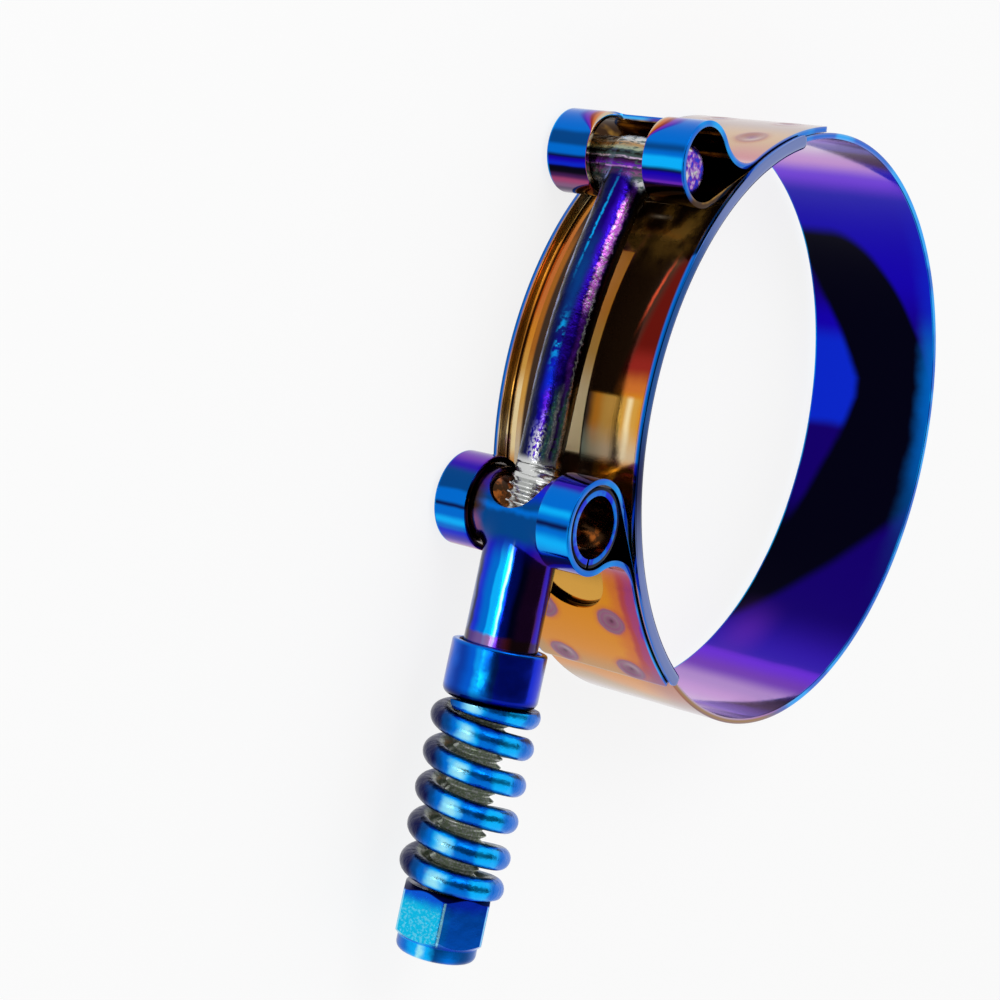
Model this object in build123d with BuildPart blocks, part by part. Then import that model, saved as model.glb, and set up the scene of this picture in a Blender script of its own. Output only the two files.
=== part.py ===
from build123d import *
from math import acos, atan2, cos, degrees, radians, sin, sqrt, tan
import os

os.makedirs("parts", exist_ok=True)

# A spring-loaded T-bolt hose clamp, lying on its rim.
# The origin is the centre of the bore at half the band's width, and +Z is the bore's axis.
# The bolt stands on the -X side, with its head towards +Y and its nut towards -Y.

# Band: one strip that is the ring, its two loops and the legs folded back on the ring
bore_diameter = 75.0
band_width = 19.0
band_thickness = 0.7
fold_gap = 0.08
loop_stand_off = 2.1
fold_bend_radius = 6.0
leg_land = 17.0
head_loop_radius = 4.3
head_loop_rise = 26.8
trunnion_loop_radius = 4.9
trunnion_loop_drop = 16.2

# Slots through the loops
head_slot_width = 7.8
head_slot_from = 85.0
head_slot_to = 298.0
trunnion_slot_width = 10.2
trunnion_slot_from = 42.0
trunnion_slot_past_bend = 5.0
trunnion_slot_overlap = 20.0

# Spot welds through the legs
weld_diameter = 2.0
weld_dimple_depth = 0.16
weld_dimple_radius = 3.2
weld_offset_z = 5.0
weld_rows_from_end = (2.2, 11.0)

# Bridge: channel sheet inside the band
bridge_thickness = 0.7
bridge_from = 114.5
bridge_to = 240.7
bridge_gap = 0.05
bridge_side_gap = 0.15
bridge_flange_height = 1.95
bridge_bend_radius = 0.35

# T-bolt
bar_diameter = 6.3
bar_length = 16.4
bar_seat_gap = 0.05
bar_end_radius = 0.6
shank_diameter = 5.2
shank_angle = 18.0
shank_bend_radius = 60.0
neck_diameter = 6.4
neck_length = 4.5
thread_diameter = 5.95
thread_from = -10.8
bolt_end_recess = 0.4
bolt_end_chamfer = 0.6
thread_start_chamfer = 0.3

# Trunnion: rolled sheet with a cross barrel and a tube
barrel_clearance = 0.25
barrel_recess = 0.2
trunnion_wall = 1.0
tube_diameter = 8.7
tube_length = 21.5
saddle_fillet = 1.0
seam_width = 0.4
seam_length = 3.4
entry_radius = 3.7
entry_floor_rise = 0.1

# Spring cup
cup_clearance = 0.45
cup_height = 6.6
cup_wall = 0.8
cup_seat_margin = 0.05
cup_hole_clearance = 0.35

# Spring
spring_diameter = 12.6
spring_wire = 2.8
spring_length = 21.9
spring_ground_depth = 0.2
spring_closed_turns = 0.8
spring_closed_pitch = 2.85
spring_pitch = 4.3
spring_start_angle = -98.0
spring_points_per_turn = 12

# Lock nut and its ring
nut_across_flats = 10.0
nut_height = 8.0
nut_hex_height = 6.1
nut_collar_diameter = 9.4
nut_collar_radius = 0.7
nut_corner_angle = -55.0
nut_face_diameter = 9.6
nut_chamfer_angle = 30.0
nut_bore_clearance = 0.06
nut_mouth_diameter = 7.2
ring_diameter = 8.0
ring_height = 2.2
ring_floor = 0.35
ring_bore_clearance = 0.04
ring_gap = 0.03


def polar(radius, angle, centre=(0.0, 0.0)):
    """Point at a distance and an angle in degrees from a centre."""
    return (centre[0] + radius * cos(radians(angle)), centre[1] + radius * sin(radians(angle)))


class Fold:
    """One end of the strip: inner leg, loop, bend back and leg on the ring.

    side is 1 for the loop whose legs run down the ring and -1 for the one whose legs run up it.
    """

    def __init__(self, loop_radius, height, side):
        self.side = side
        self.inner_radius = loop_radius
        self.radius = loop_radius + band_thickness / 2
        distance = ring_mid + self.radius + loop_stand_off
        self.centre = (-sqrt(distance**2 - height**2), height)
        angle = degrees(atan2(self.centre[1], self.centre[0])) % 360
        inner = degrees(acos((ring_mid + self.radius) / distance))
        self.leaves_ring = angle + side * inner
        self.meets_loop = self.leaves_ring + 180
        reach = leg_mid + fold_bend_radius
        hold = self.radius + fold_bend_radius
        swing = degrees(acos((distance**2 + reach**2 - hold**2) / (2 * distance * reach)))
        self.bend_angle = angle + side * swing
        self.bend_centre = polar(reach, self.bend_angle)
        dx = self.bend_centre[0] - self.centre[0]
        dy = self.bend_centre[1] - self.centre[1]
        self.leaves_loop = degrees(atan2(dy, dx)) % 360
        self.land_sweep = side * degrees(leg_land / leg_mid)

    def angle_from_end(self, length):
        """Angle round the ring of a place on the leg, this far from the leg's end."""
        return self.bend_angle + self.land_sweep - self.side * degrees(length / leg_mid)


bore_radius = bore_diameter / 2
ring_mid = bore_radius + band_thickness / 2
leg_mid = ring_mid + band_thickness + fold_gap
leg_outer = leg_mid + band_thickness / 2
head_fold = Fold(head_loop_radius, head_loop_rise, -1)
trunnion_fold = Fold(trunnion_loop_radius, -trunnion_loop_drop, 1)
bolt_x = trunnion_fold.centre[0]
cup_floor_y = trunnion_fold.centre[1] - tube_length
spring_top_y = cup_floor_y - cup_wall
nut_top_y = spring_top_y - spring_length
nut_bottom_y = nut_top_y - nut_height


# Band
with BuildPart() as band:
    with BuildSketch():
        with BuildLine():
            for fold in (head_fold, trunnion_fold):
                turn = (fold.leaves_loop - fold.meets_loop) % 360
                if fold.side < 0:
                    turn = turn - 360
                CenterArc(fold.centre, fold.radius, fold.meets_loop, turn)
                start = fold.leaves_loop + 180
                back = (fold.bend_angle + 180 - start + 180) % 360 - 180
                CenterArc(fold.bend_centre, fold_bend_radius, start, back)
                CenterArc((0, 0), leg_mid, fold.bend_angle, fold.land_sweep)
        trace(line_width=band_thickness)
    extrude(amount=band_width / 2, both=True)

    # Slot in the head's loop, for the bolt's shank
    with BuildSketch():
        with BuildLine():
            reach = head_fold.radius + 2 * band_thickness
            first = polar(reach, head_slot_from, head_fold.centre)
            last = polar(reach, head_slot_to, head_fold.centre)
            CenterArc(head_fold.centre, reach, head_slot_from, head_slot_to - head_slot_from)
            Line(last, head_fold.centre)
            Line(head_fold.centre, first)
        make_face()
    extrude(amount=head_slot_width / 2, both=True, mode=Mode.SUBTRACT)

    # Slot in the trunnion's loop, for its tube, with a round end on the leg
    with BuildSketch():
        with BuildLine():
            reach = trunnion_fold.radius + 2 * band_thickness
            slot_to = trunnion_fold.leaves_loop + trunnion_slot_overlap
            first = polar(reach, trunnion_slot_from, trunnion_fold.centre)
            last = polar(reach, slot_to, trunnion_fold.centre)
            slot_sweep = slot_to - trunnion_slot_from
            CenterArc(trunnion_fold.centre, reach, trunnion_slot_from, slot_sweep)
            Line(last, trunnion_fold.centre)
            Line(trunnion_fold.centre, first)
        make_face()
    extrude(amount=trunnion_slot_width / 2, both=True, mode=Mode.SUBTRACT)
    slot_radius = trunnion_slot_width / 2
    slot_end_length = trunnion_slot_past_bend - slot_radius
    slot_end_angle = trunnion_fold.bend_angle + degrees(slot_end_length / leg_mid)
    leg_plane = Plane(
        origin=(*polar(leg_mid - band_thickness / 2 - fold_gap / 2, slot_end_angle), 0),
        x_dir=(*polar(1, slot_end_angle + 90), 0),
        z_dir=(*polar(1, slot_end_angle), 0),
    )
    with BuildSketch(leg_plane):
        Circle(slot_radius)
        Rectangle(2 * fold_bend_radius, trunnion_slot_width, align=(Align.MAX, Align.CENTER))
    extrude(amount=2 * trunnion_fold.radius, mode=Mode.SUBTRACT)

    # Ring and the legs that leave it for the loops
    with BuildSketch():
        with BuildLine():
            for fold in (head_fold, trunnion_fold):
                loop_point = polar(fold.radius, fold.meets_loop, fold.centre)
                Line(polar(ring_mid, fold.leaves_ring), loop_point)
            ring_sweep = head_fold.leaves_ring + 360 - trunnion_fold.leaves_ring
            CenterArc((0, 0), ring_mid, trunnion_fold.leaves_ring, ring_sweep)
        trace(line_width=band_thickness)
    extrude(amount=band_width / 2, both=True)

    # Weld spots between the leg and the ring, and the dimples that they leave outside
    folds = (head_fold, trunnion_fold)
    for angle in [fold.angle_from_end(row) for fold in folds for row in weld_rows_from_end]:
        for z in (-weld_offset_z, weld_offset_z):
            with BuildSketch(Plane((*polar(ring_mid, angle), z), z_dir=(*polar(1, angle), 0))):
                Circle(weld_diameter / 2)
            extrude(amount=band_thickness + fold_gap)
            lift = leg_outer + weld_dimple_radius - weld_dimple_depth
            with Locations((*polar(lift, angle), z)):
                Sphere(weld_dimple_radius, mode=Mode.SUBTRACT)
band.part.label = "band"
export_step(band.part, "parts/band.step")


# Bridge
with BuildPart() as bridge:
    bridge_outer = bore_radius - bridge_gap
    bridge_inner = bridge_outer - bridge_thickness
    side = band_width / 2 + bridge_side_gap + bridge_thickness
    with BuildSketch(Plane.XZ):
        with BuildLine():
            Polyline(
                (bridge_inner, -side),
                (bridge_inner + bridge_flange_height, -side),
                (bridge_inner + bridge_flange_height, bridge_thickness - side),
                (bridge_outer, bridge_thickness - side),
                (bridge_outer, side - bridge_thickness),
                (bridge_inner + bridge_flange_height, side - bridge_thickness),
                (bridge_inner + bridge_flange_height, side),
                (bridge_inner, side),
                close=True,
            )
        make_face()
        outside = vertices().group_by(Axis.X)[0]
        fillet(outside, bridge_bend_radius + bridge_thickness)
        inside = vertices().filter_by_position(Axis.X, bridge_outer - 0.01, bridge_outer + 0.01)
        fillet(inside, bridge_bend_radius)
    revolve(axis=Axis.Z, revolution_arc=bridge_to - bridge_from)
bridge.part = bridge.part.rotate(Axis.Z, bridge_from)
bridge.part.label = "bridge"
export_step(bridge.part, "parts/bridge.step")


# T-bolt
with BuildPart() as t_bolt:
    pull = (-sin(radians(shank_angle)), -cos(radians(shank_angle)))
    seat = head_fold.inner_radius - bar_diameter / 2 - bar_seat_gap
    bar_centre = (head_fold.centre[0] + seat * pull[0], head_fold.centre[1] + seat * pull[1])
    with Locations((*bar_centre, 0)):
        Cylinder(bar_diameter / 2, bar_length)
    fillet(edges().filter_by(GeomType.CIRCLE), bar_end_radius)

    # Shank: straight from the bar, then a bend into line with the tube
    bend_step_x = shank_bend_radius * (1 - cos(radians(shank_angle)))
    bend_step_y = shank_bend_radius * sin(radians(shank_angle))
    lean_length = (bar_centre[0] - bolt_x - bend_step_x) / sin(radians(shank_angle))
    lean_end = (bar_centre[0] + lean_length * pull[0], bar_centre[1] + lean_length * pull[1])
    bend_end_y = lean_end[1] - bend_step_y
    with BuildLine():
        Line(bar_centre, lean_end)
        bend_centre = (bolt_x + shank_bend_radius, bend_end_y)
        CenterArc(bend_centre, shank_bend_radius, 180 - shank_angle, shank_angle)
        Line((bolt_x, bend_end_y), (bolt_x, thread_from))
    with BuildSketch(Plane((*bar_centre, 0), z_dir=(*pull, 0))):
        Circle(shank_diameter / 2)
    sweep()
    with Locations(Plane((*bar_centre, 0), z_dir=(*pull, 0))):
        neck_place = (Align.CENTER, Align.CENTER, Align.MIN)
        Cone(neck_diameter / 2, shank_diameter / 2, neck_length, align=neck_place)

    # Threaded end
    bolt_end_y = nut_bottom_y + bolt_end_recess
    with BuildSketch(Plane((bolt_x, thread_from, 0), z_dir=(0, -1, 0))):
        Circle(thread_diameter / 2)
    extrude(amount=thread_from - bolt_end_y)
    rims = edges().filter_by(GeomType.CIRCLE).filter_by_position(Axis.Y, bolt_end_y, thread_from)
    chamfer(rims.group_by(Axis.Y)[0], bolt_end_chamfer)
    chamfer(rims.group_by(Axis.Y)[-1].sort_by(SortBy.RADIUS)[-1], thread_start_chamfer)
t_bolt.part.label = "t_bolt"
export_step(t_bolt.part, "parts/t_bolt.step")


# Trunnion
with BuildPart() as trunnion:
    barrel_radius = trunnion_fold.inner_radius - barrel_clearance
    barrel_length = band_width - 2 * barrel_recess
    barrel_y = trunnion_fold.centre[1]
    tube_radius = tube_diameter / 2
    with Locations((bolt_x, barrel_y, 0)):
        Cylinder(barrel_radius, barrel_length)
    with BuildSketch(Plane((bolt_x, barrel_y, 0), z_dir=(0, -1, 0))):
        Circle(tube_radius)
    extrude(amount=tube_length)
    saddle = edges().filter_by(GeomType.BSPLINE)
    fillet(saddle, saddle_fillet)
    with Locations((bolt_x, barrel_y, 0)):
        Cylinder(barrel_radius - trunnion_wall, barrel_length, mode=Mode.SUBTRACT)
    with BuildSketch(Plane((bolt_x, barrel_y, 0), z_dir=(0, -1, 0))):
        Circle(tube_radius - trunnion_wall)
    extrude(amount=tube_length, mode=Mode.SUBTRACT)

    # Entry for the bolt: a round-bottomed notch across the barrel, down to just above its axis
    entry_y = barrel_y + entry_floor_rise + entry_radius
    with BuildSketch(Plane((bolt_x, entry_y, 0), x_dir=(0, 0, -1), z_dir=(1, 0, 0))):
        Circle(entry_radius)
        Rectangle(2 * entry_radius, barrel_radius, align=(Align.CENTER, Align.MIN))
    extrude(amount=barrel_radius, both=True, mode=Mode.SUBTRACT)

    # Seams of the rolled sheet: under the barrel beside the tube, and down the tube towards the ring
    with BuildSketch(Plane((bolt_x, barrel_y, 0), x_dir=(1, 0, 0), z_dir=(0, -1, 0))):
        with Locations((0, barrel_length / 2), (0, -barrel_length / 2)):
            Rectangle(seam_width, 2 * seam_length)
    extrude(amount=2 * barrel_radius, mode=Mode.SUBTRACT)
    with BuildSketch(Plane((bolt_x, barrel_y - barrel_radius / 2, 0), x_dir=(1, 0, 0), z_dir=(0, -1, 0))):
        Rectangle(2 * tube_radius, seam_width, align=(Align.MIN, Align.CENTER))
    extrude(amount=tube_length, mode=Mode.SUBTRACT)
trunnion.part.label = "trunnion"
export_step(trunnion.part, "parts/trunnion.step")


# Spring cup
with BuildPart() as spring_cup:
    with BuildSketch(Plane((bolt_x, spring_top_y, 0), z_dir=(0, 1, 0))):
        Circle(tube_radius + cup_clearance + cup_wall)
    extrude(amount=cup_height)
    fillet(edges().group_by(Axis.Y)[0], cup_clearance - cup_seat_margin + cup_wall)
    offset(amount=-cup_wall, openings=faces().sort_by(Axis.Y)[-1])
    with BuildSketch(Plane((bolt_x, spring_top_y, 0), z_dir=(0, 1, 0))):
        Circle(thread_diameter / 2 + cup_hole_clearance)
    extrude(amount=cup_height, mode=Mode.SUBTRACT)
spring_cup.part.label = "spring_cup"
export_step(spring_cup.part, "parts/spring_cup.step")


def spring_fall(turn):
    """How far the wire's centre lies below its start after so many turns."""
    if turn < spring_closed_turns:
        return turn * spring_closed_pitch
    if turn > spring_turns - spring_closed_turns:
        return spring_rise - (spring_turns - turn) * spring_closed_pitch
    return spring_closed_turns * spring_closed_pitch + (turn - spring_closed_turns) * spring_pitch


# Spring, wound left-handed, with closed ends ground flat
spring_radius = (spring_diameter - spring_wire) / 2
spring_rise = spring_length + 2 * spring_ground_depth
spring_active_rise = spring_rise - 2 * spring_closed_turns * spring_closed_pitch
spring_turns = 2 * spring_closed_turns + spring_active_rise / spring_pitch
with BuildPart() as spring:
    with BuildLine() as coil:
        steps = round(spring_turns * spring_points_per_turn)
        points = []
        for i in range(steps + 1):
            turn = spring_turns * i / steps
            swing = radians(spring_start_angle + 360 * turn)
            y = spring_top_y + spring_ground_depth - spring_fall(turn)
            points.append((bolt_x + spring_radius * sin(swing), y, spring_radius * cos(swing)))
        Spline(points)
    with BuildSketch(Plane(coil.line @ 0, z_dir=coil.line % 0)):
        Circle(spring_wire / 2)
    sweep(is_frenet=True)
    split(bisect_by=Plane((0, spring_top_y, 0), z_dir=(0, -1, 0)), keep=Keep.TOP)
    split(bisect_by=Plane((0, nut_top_y, 0), z_dir=(0, 1, 0)), keep=Keep.TOP)
spring.part.label = "spring"
export_step(spring.part, "parts/spring.step")


# Lock nut: a hexagon with a round collar crimped over its ring
nut_corner = radians(nut_corner_angle)
nut_plane = Plane((bolt_x, nut_top_y, 0), x_dir=(sin(nut_corner), 0, cos(nut_corner)), z_dir=(0, -1, 0))
nut_section = Plane((bolt_x, nut_top_y, 0), x_dir=(1, 0, 0), z_dir=(0, 0, -1))
nut_axis = Axis((bolt_x, nut_top_y, 0), (0, -1, 0))
ring_top = nut_height - ring_floor - ring_height
with BuildPart() as lock_nut:
    with BuildSketch(nut_plane):
        RegularPolygon(nut_across_flats / 2, 6, major_radius=False)
    extrude(amount=nut_hex_height)

    # Chamfer on the hexagon's corners at both faces
    with BuildSketch(nut_section):
        with BuildLine():
            corner_radius = nut_across_flats / 2 / cos(radians(30))
            chamfer_height = (corner_radius - nut_face_diameter / 2) * tan(radians(nut_chamfer_angle))
            Polyline(
                (0, 0),
                (nut_face_diameter / 2, 0),
                (corner_radius, chamfer_height),
                (corner_radius, nut_hex_height - chamfer_height),
                (nut_face_diameter / 2, nut_hex_height),
                (0, nut_hex_height),
                close=True,
            )
        make_face()
    revolve(axis=nut_axis, mode=Mode.INTERSECT)

    # Collar
    with BuildSketch(nut_plane):
        Circle(nut_collar_diameter / 2)
    extrude(amount=nut_height)
    fillet(edges().group_by(Axis.Y)[0], nut_collar_radius)

    # Bore, pocket for the ring and mouth
    with BuildSketch(nut_section):
        with BuildLine():
            bore = thread_diameter / 2 + nut_bore_clearance
            pocket = ring_diameter / 2 + ring_gap
            Polyline(
                (0, 0),
                (bore, 0),
                (bore, ring_top - ring_gap),
                (pocket, ring_top - ring_gap),
                (pocket, nut_height - ring_floor + ring_gap),
                (nut_mouth_diameter / 2, nut_height - ring_floor + ring_gap),
                (nut_mouth_diameter / 2, nut_height),
                (0, nut_height),
                close=True,
            )
        make_face()
    revolve(axis=nut_axis, mode=Mode.SUBTRACT)
lock_nut.part.label = "lock_nut"
export_step(lock_nut.part, "parts/lock_nut.step")


# Locking ring in the nut
with BuildPart() as nut_insert:
    with BuildSketch(nut_plane.offset(ring_top)):
        Circle(ring_diameter / 2)
        Circle(thread_diameter / 2 + ring_bore_clearance, mode=Mode.SUBTRACT)
    extrude(amount=ring_height)
nut_insert.part.label = "nut_insert"
export_step(nut_insert.part, "parts/nut_insert.step")
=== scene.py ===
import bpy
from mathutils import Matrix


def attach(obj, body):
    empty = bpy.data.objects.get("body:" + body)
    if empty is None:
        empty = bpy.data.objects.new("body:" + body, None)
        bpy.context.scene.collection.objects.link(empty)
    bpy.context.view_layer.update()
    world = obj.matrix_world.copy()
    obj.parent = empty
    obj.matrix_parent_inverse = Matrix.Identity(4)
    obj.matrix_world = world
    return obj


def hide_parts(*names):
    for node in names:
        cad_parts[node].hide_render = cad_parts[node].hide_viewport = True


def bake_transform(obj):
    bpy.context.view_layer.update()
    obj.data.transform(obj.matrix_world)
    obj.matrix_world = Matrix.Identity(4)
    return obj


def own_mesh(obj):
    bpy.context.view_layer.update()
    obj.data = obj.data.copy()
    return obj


bl_info = {
    "name": "T-bolt clamp",
    "version": (1, 0, 0),
    "blender": (4, 5, 0),
    "location": "3D View > Sidebar > Clamp",
    "description": "Builds a spring-loaded T-bolt hose clamp in heat-tinted steel round its solid model",
    "category": "Add Mesh",
}

from functools import reduce
from math import acos, atan2, ceil, cos, degrees, pi, radians, sin, sqrt, tan

import bmesh
import bpy
import numpy as np
from bpy.props import FloatProperty, FloatVectorProperty, PointerProperty
from mathutils import Matrix, Vector, noise

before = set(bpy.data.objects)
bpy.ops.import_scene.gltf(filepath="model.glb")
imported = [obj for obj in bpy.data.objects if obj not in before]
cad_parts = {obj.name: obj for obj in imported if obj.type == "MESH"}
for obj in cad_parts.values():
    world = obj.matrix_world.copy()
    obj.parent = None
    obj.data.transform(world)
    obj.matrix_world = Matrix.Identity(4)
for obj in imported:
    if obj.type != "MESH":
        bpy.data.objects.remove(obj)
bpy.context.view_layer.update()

MM = 0.001


def length(name, description, default):
    """A size in metres, given in millimetres."""
    return FloatProperty(name=name, description=description, default=default * MM, unit="LENGTH", precision=5)


def angle(name, description, default):
    """An angle in degrees, kept as a plain number."""
    return FloatProperty(name=name, description=description, default=default)


def fraction(name, description, default):
    """A plain number from 0 to 1."""
    return FloatProperty(name=name, description=description, default=default, min=0, max=1, subtype="FACTOR")


def power(name, description, default):
    """A lamp's power in watts."""
    return FloatProperty(name=name, description=description, default=default, min=0, unit="POWER")


def colour(name, description, default):
    """A colour, given in linear values."""
    return FloatVectorProperty(
        name=name, description=description, default=default, subtype="COLOR", min=0, max=1,
    )


class ClampBandSizes(bpy.types.PropertyGroup):
    """Sizes of the strip that is the ring, its loops and its legs."""
    bore_radius: length("Bore radius", "Inside radius of the ring", 37.5)
    width: length("Width", "Width of the strip", 19.0)
    thickness: length("Thickness", "Thickness of the strip", 0.7)
    fold_gap: length("Fold gap", "Gap between a leg and the ring under it", 0.08)
    stand_off: length("Loop stand-off", "How far a loop stands off the ring", 2.1)
    bend_radius: length("Bend radius", "Radius of the bend between a loop and its leg", 6.0)
    leg_land: length("Leg length", "Length of a leg that lies on the ring", 17.0)
    head_loop: length("Head loop radius", "Inside radius of the loop round the bolt's head", 4.3)
    head_rise: length("Head loop height", "Height of the head's loop over the ring's centre", 26.8)
    lower_loop: length("Lower loop radius", "Inside radius of the loop round the trunnion", 4.9)
    lower_drop: length("Lower loop depth", "Depth of the trunnion's loop under the ring's centre", 16.2)
    head_slot: length("Head slot width", "Width of the slot for the bolt's shank", 7.8)
    head_slot_from: angle("Head slot start", "Angle round the loop where the slot starts", 85.0)
    head_slot_to: angle("Head slot end", "Angle round the loop where the slot ends", 298.0)
    lower_slot: length("Lower slot width", "Width of the slot for the trunnion's tube", 10.2)
    lower_slot_from: angle("Lower slot start", "Angle round the loop where the slot starts", 42.0)
    lower_slot_past: length("Lower slot reach", "How far the slot runs onto the leg", 5.0)
    slot_corner: length("Slot corner radius", "Radius of the head slot's corners", 0.8)
    leg_corner: length("Leg corner radius", "Radius of the corners at the strip's ends", 0.7)
    edge: length("Edge rounding", "Rounding of the sheared edges", 0.11)
    weld_offset: length("Weld offset", "Distance of a spot weld from the strip's middle", 5.0)
    weld_first: length("First weld row", "Distance of the first welds from the leg's end", 2.2)
    weld_second: length("Second weld row", "Distance of the second welds from the leg's end", 11.0)
    weld_radius: length("Weld radius", "Radius of the dent that a weld leaves", 1.5)
    weld_depth: length("Weld depth", "Depth of the dent that a weld leaves", 0.14)
    weld_rim: fraction("Weld rim", "Height of the rim round a dent, as a share of its depth", 0.22)


class ClampBridgeSizes(bpy.types.PropertyGroup):
    """Sizes of the channel inside the ring."""
    start: angle("Upper end", "Angle round the ring where the bridge starts", 114.5)
    end: angle("Lower end", "Angle round the ring where the bridge ends", 240.7)
    thickness: length("Thickness", "Thickness of the sheet", 0.7)
    gap: length("Gap", "Gap between the bridge and the ring", 0.05)
    side_gap: length("Side gap", "Gap between a flange and the strip's edge", 0.15)
    flange: length("Flange height", "Height of a flange over the bridge's inside", 1.95)
    bend_radius: length("Bend radius", "Inside radius of the flange's bend", 0.35)
    edge: length("Edge rounding", "Rounding of the sheared edges", 0.1)


class ClampBoltSizes(bpy.types.PropertyGroup):
    """Sizes of the T-bolt."""
    bar_diameter: length("Bar diameter", "Diameter of the cross bar", 6.3)
    bar_length: length("Bar length", "Length of the cross bar", 16.4)
    bar_rounding: length("Bar end rounding", "Rounding of the bar's ends", 1.5)
    seat_gap: length("Seat gap", "Gap between the bar and its loop", 0.05)
    shank_diameter: length("Shank diameter", "Diameter of the shank", 5.2)
    shank_angle: angle("Shank angle", "Lean of the shank at the bar, in degrees", 18.0)
    shank_bend: length("Shank bend radius", "Radius of the bend into line with the tube", 60.0)
    neck_diameter: length("Neck diameter", "Diameter of the shank at the bar", 6.3)
    neck_length: length("Neck length", "Length of the taper below the bar", 5.0)
    neck_fillet: length("Neck fillet", "Fillet between the bar and the shank", 1.1)
    thread_diameter: length("Thread diameter", "Outside diameter of the thread", 5.95)
    thread_pitch: length("Thread pitch", "Rise of the thread in one turn", 1.0)
    thread_depth: length("Thread depth", "Depth of the thread", 0.58)
    thread_from: length("Thread start", "Where the thread starts, along the row frame's Y axis", -10.8)
    end_recess: length("End recess", "How far the bolt ends inside the nut", 0.4)


class ClampTrunnionSizes(bpy.types.PropertyGroup):
    """Sizes of the rolled sheet trunnion."""
    clearance: length("Barrel clearance", "Gap between the barrel and its loop", 0.25)
    recess: length("Barrel recess", "How far the barrel's ends lie inside the strip's edges", 0.2)
    wall: length("Wall", "Thickness of the sheet", 1.0)
    tube_diameter: length("Tube diameter", "Outside diameter of the tube", 8.7)
    tube_length: length("Tube length", "Length of the tube from the barrel's middle", 21.5)
    fillet: length("Saddle fillet", "Fillet between the barrel and the tube", 1.0)
    entry_radius: length("Entry radius", "Radius of the round-bottomed notch for the bolt", 3.7)
    entry_rise: length("Entry floor", "Height of the notch's floor over the barrel's axis", 0.1)
    seam: length("Seam width", "Width of the rolled sheet's open seams", 0.4)
    seam_length: length("Seam length", "Length of the barrel's seams", 3.4)
    seam_lift: length("Seam lift", "How far the lips of the tube's seam stand open", 0.35)
    edge: length("Edge rounding", "Rounding of the cut edges", 0.12)


class ClampSpringSizes(bpy.types.PropertyGroup):
    """Sizes of the spring and its cup."""
    cup_clearance: length("Cup clearance", "Gap between the tube and the cup", 0.45)
    cup_wall: length("Cup wall", "Thickness of the cup", 0.8)
    cup_height: length("Cup height", "Height of the cup", 6.6)
    cup_seat: length("Cup seat margin", "How much wider the cup's flat floor is than the tube", 0.05)
    cup_hole_gap: length("Cup hole gap", "Gap between the bolt and the cup's hole", 0.35)
    diameter: length("Spring diameter", "Outside diameter of the coil", 12.6)
    wire: length("Wire diameter", "Diameter of the wire", 2.8)
    free_length: length("Spring length", "Length of the spring between its ground ends", 21.9)
    ground: length("Ground depth", "Depth ground off each end", 0.2)
    closed_turns: FloatProperty(
        name="Closed turns", description="Turns at each end with closed pitch", default=0.8,
    )
    closed_pitch: length("Closed pitch", "Rise of the coil in one closed turn", 2.85)
    pitch: length("Pitch", "Rise of the coil in one turn", 4.3)
    start_angle: angle("Start angle", "Angle where the wire starts", -98.0)


class ClampNutSizes(bpy.types.PropertyGroup):
    """Sizes of the lock nut."""
    across_flats: length("Across flats", "Width of the hexagon across its flats", 10.0)
    height: length("Height", "Height of the nut with its collar", 8.0)
    hex_height: length("Hexagon height", "Height of the hexagon", 6.1)
    collar_diameter: length("Collar diameter", "Diameter of the round collar", 9.4)
    collar_rounding: length("Collar rounding", "Rounding of the collar's outer edge", 0.9)
    face_diameter: length("Face diameter", "Diameter where the corner chamfer starts", 9.68)
    chamfer_angle: angle("Chamfer angle", "Slope of the corner chamfer", 42.0)
    corner_angle: angle("Corner angle", "Angle of the first corner", -55.0)
    bore_gap: length("Bore gap", "Gap between the thread and the bore", 0.06)
    mouth: length("Mouth diameter", "Diameter of the opening at the collar", 7.2)
    ring_diameter: length("Pocket diameter", "Diameter of the pocket for the locking ring", 8.06)
    ring_top: length("Pocket top", "Depth of the pocket's top below the nut's top", 5.42)
    ring_floor: length("Pocket floor", "Thickness of the crimped lip", 0.32)


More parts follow.
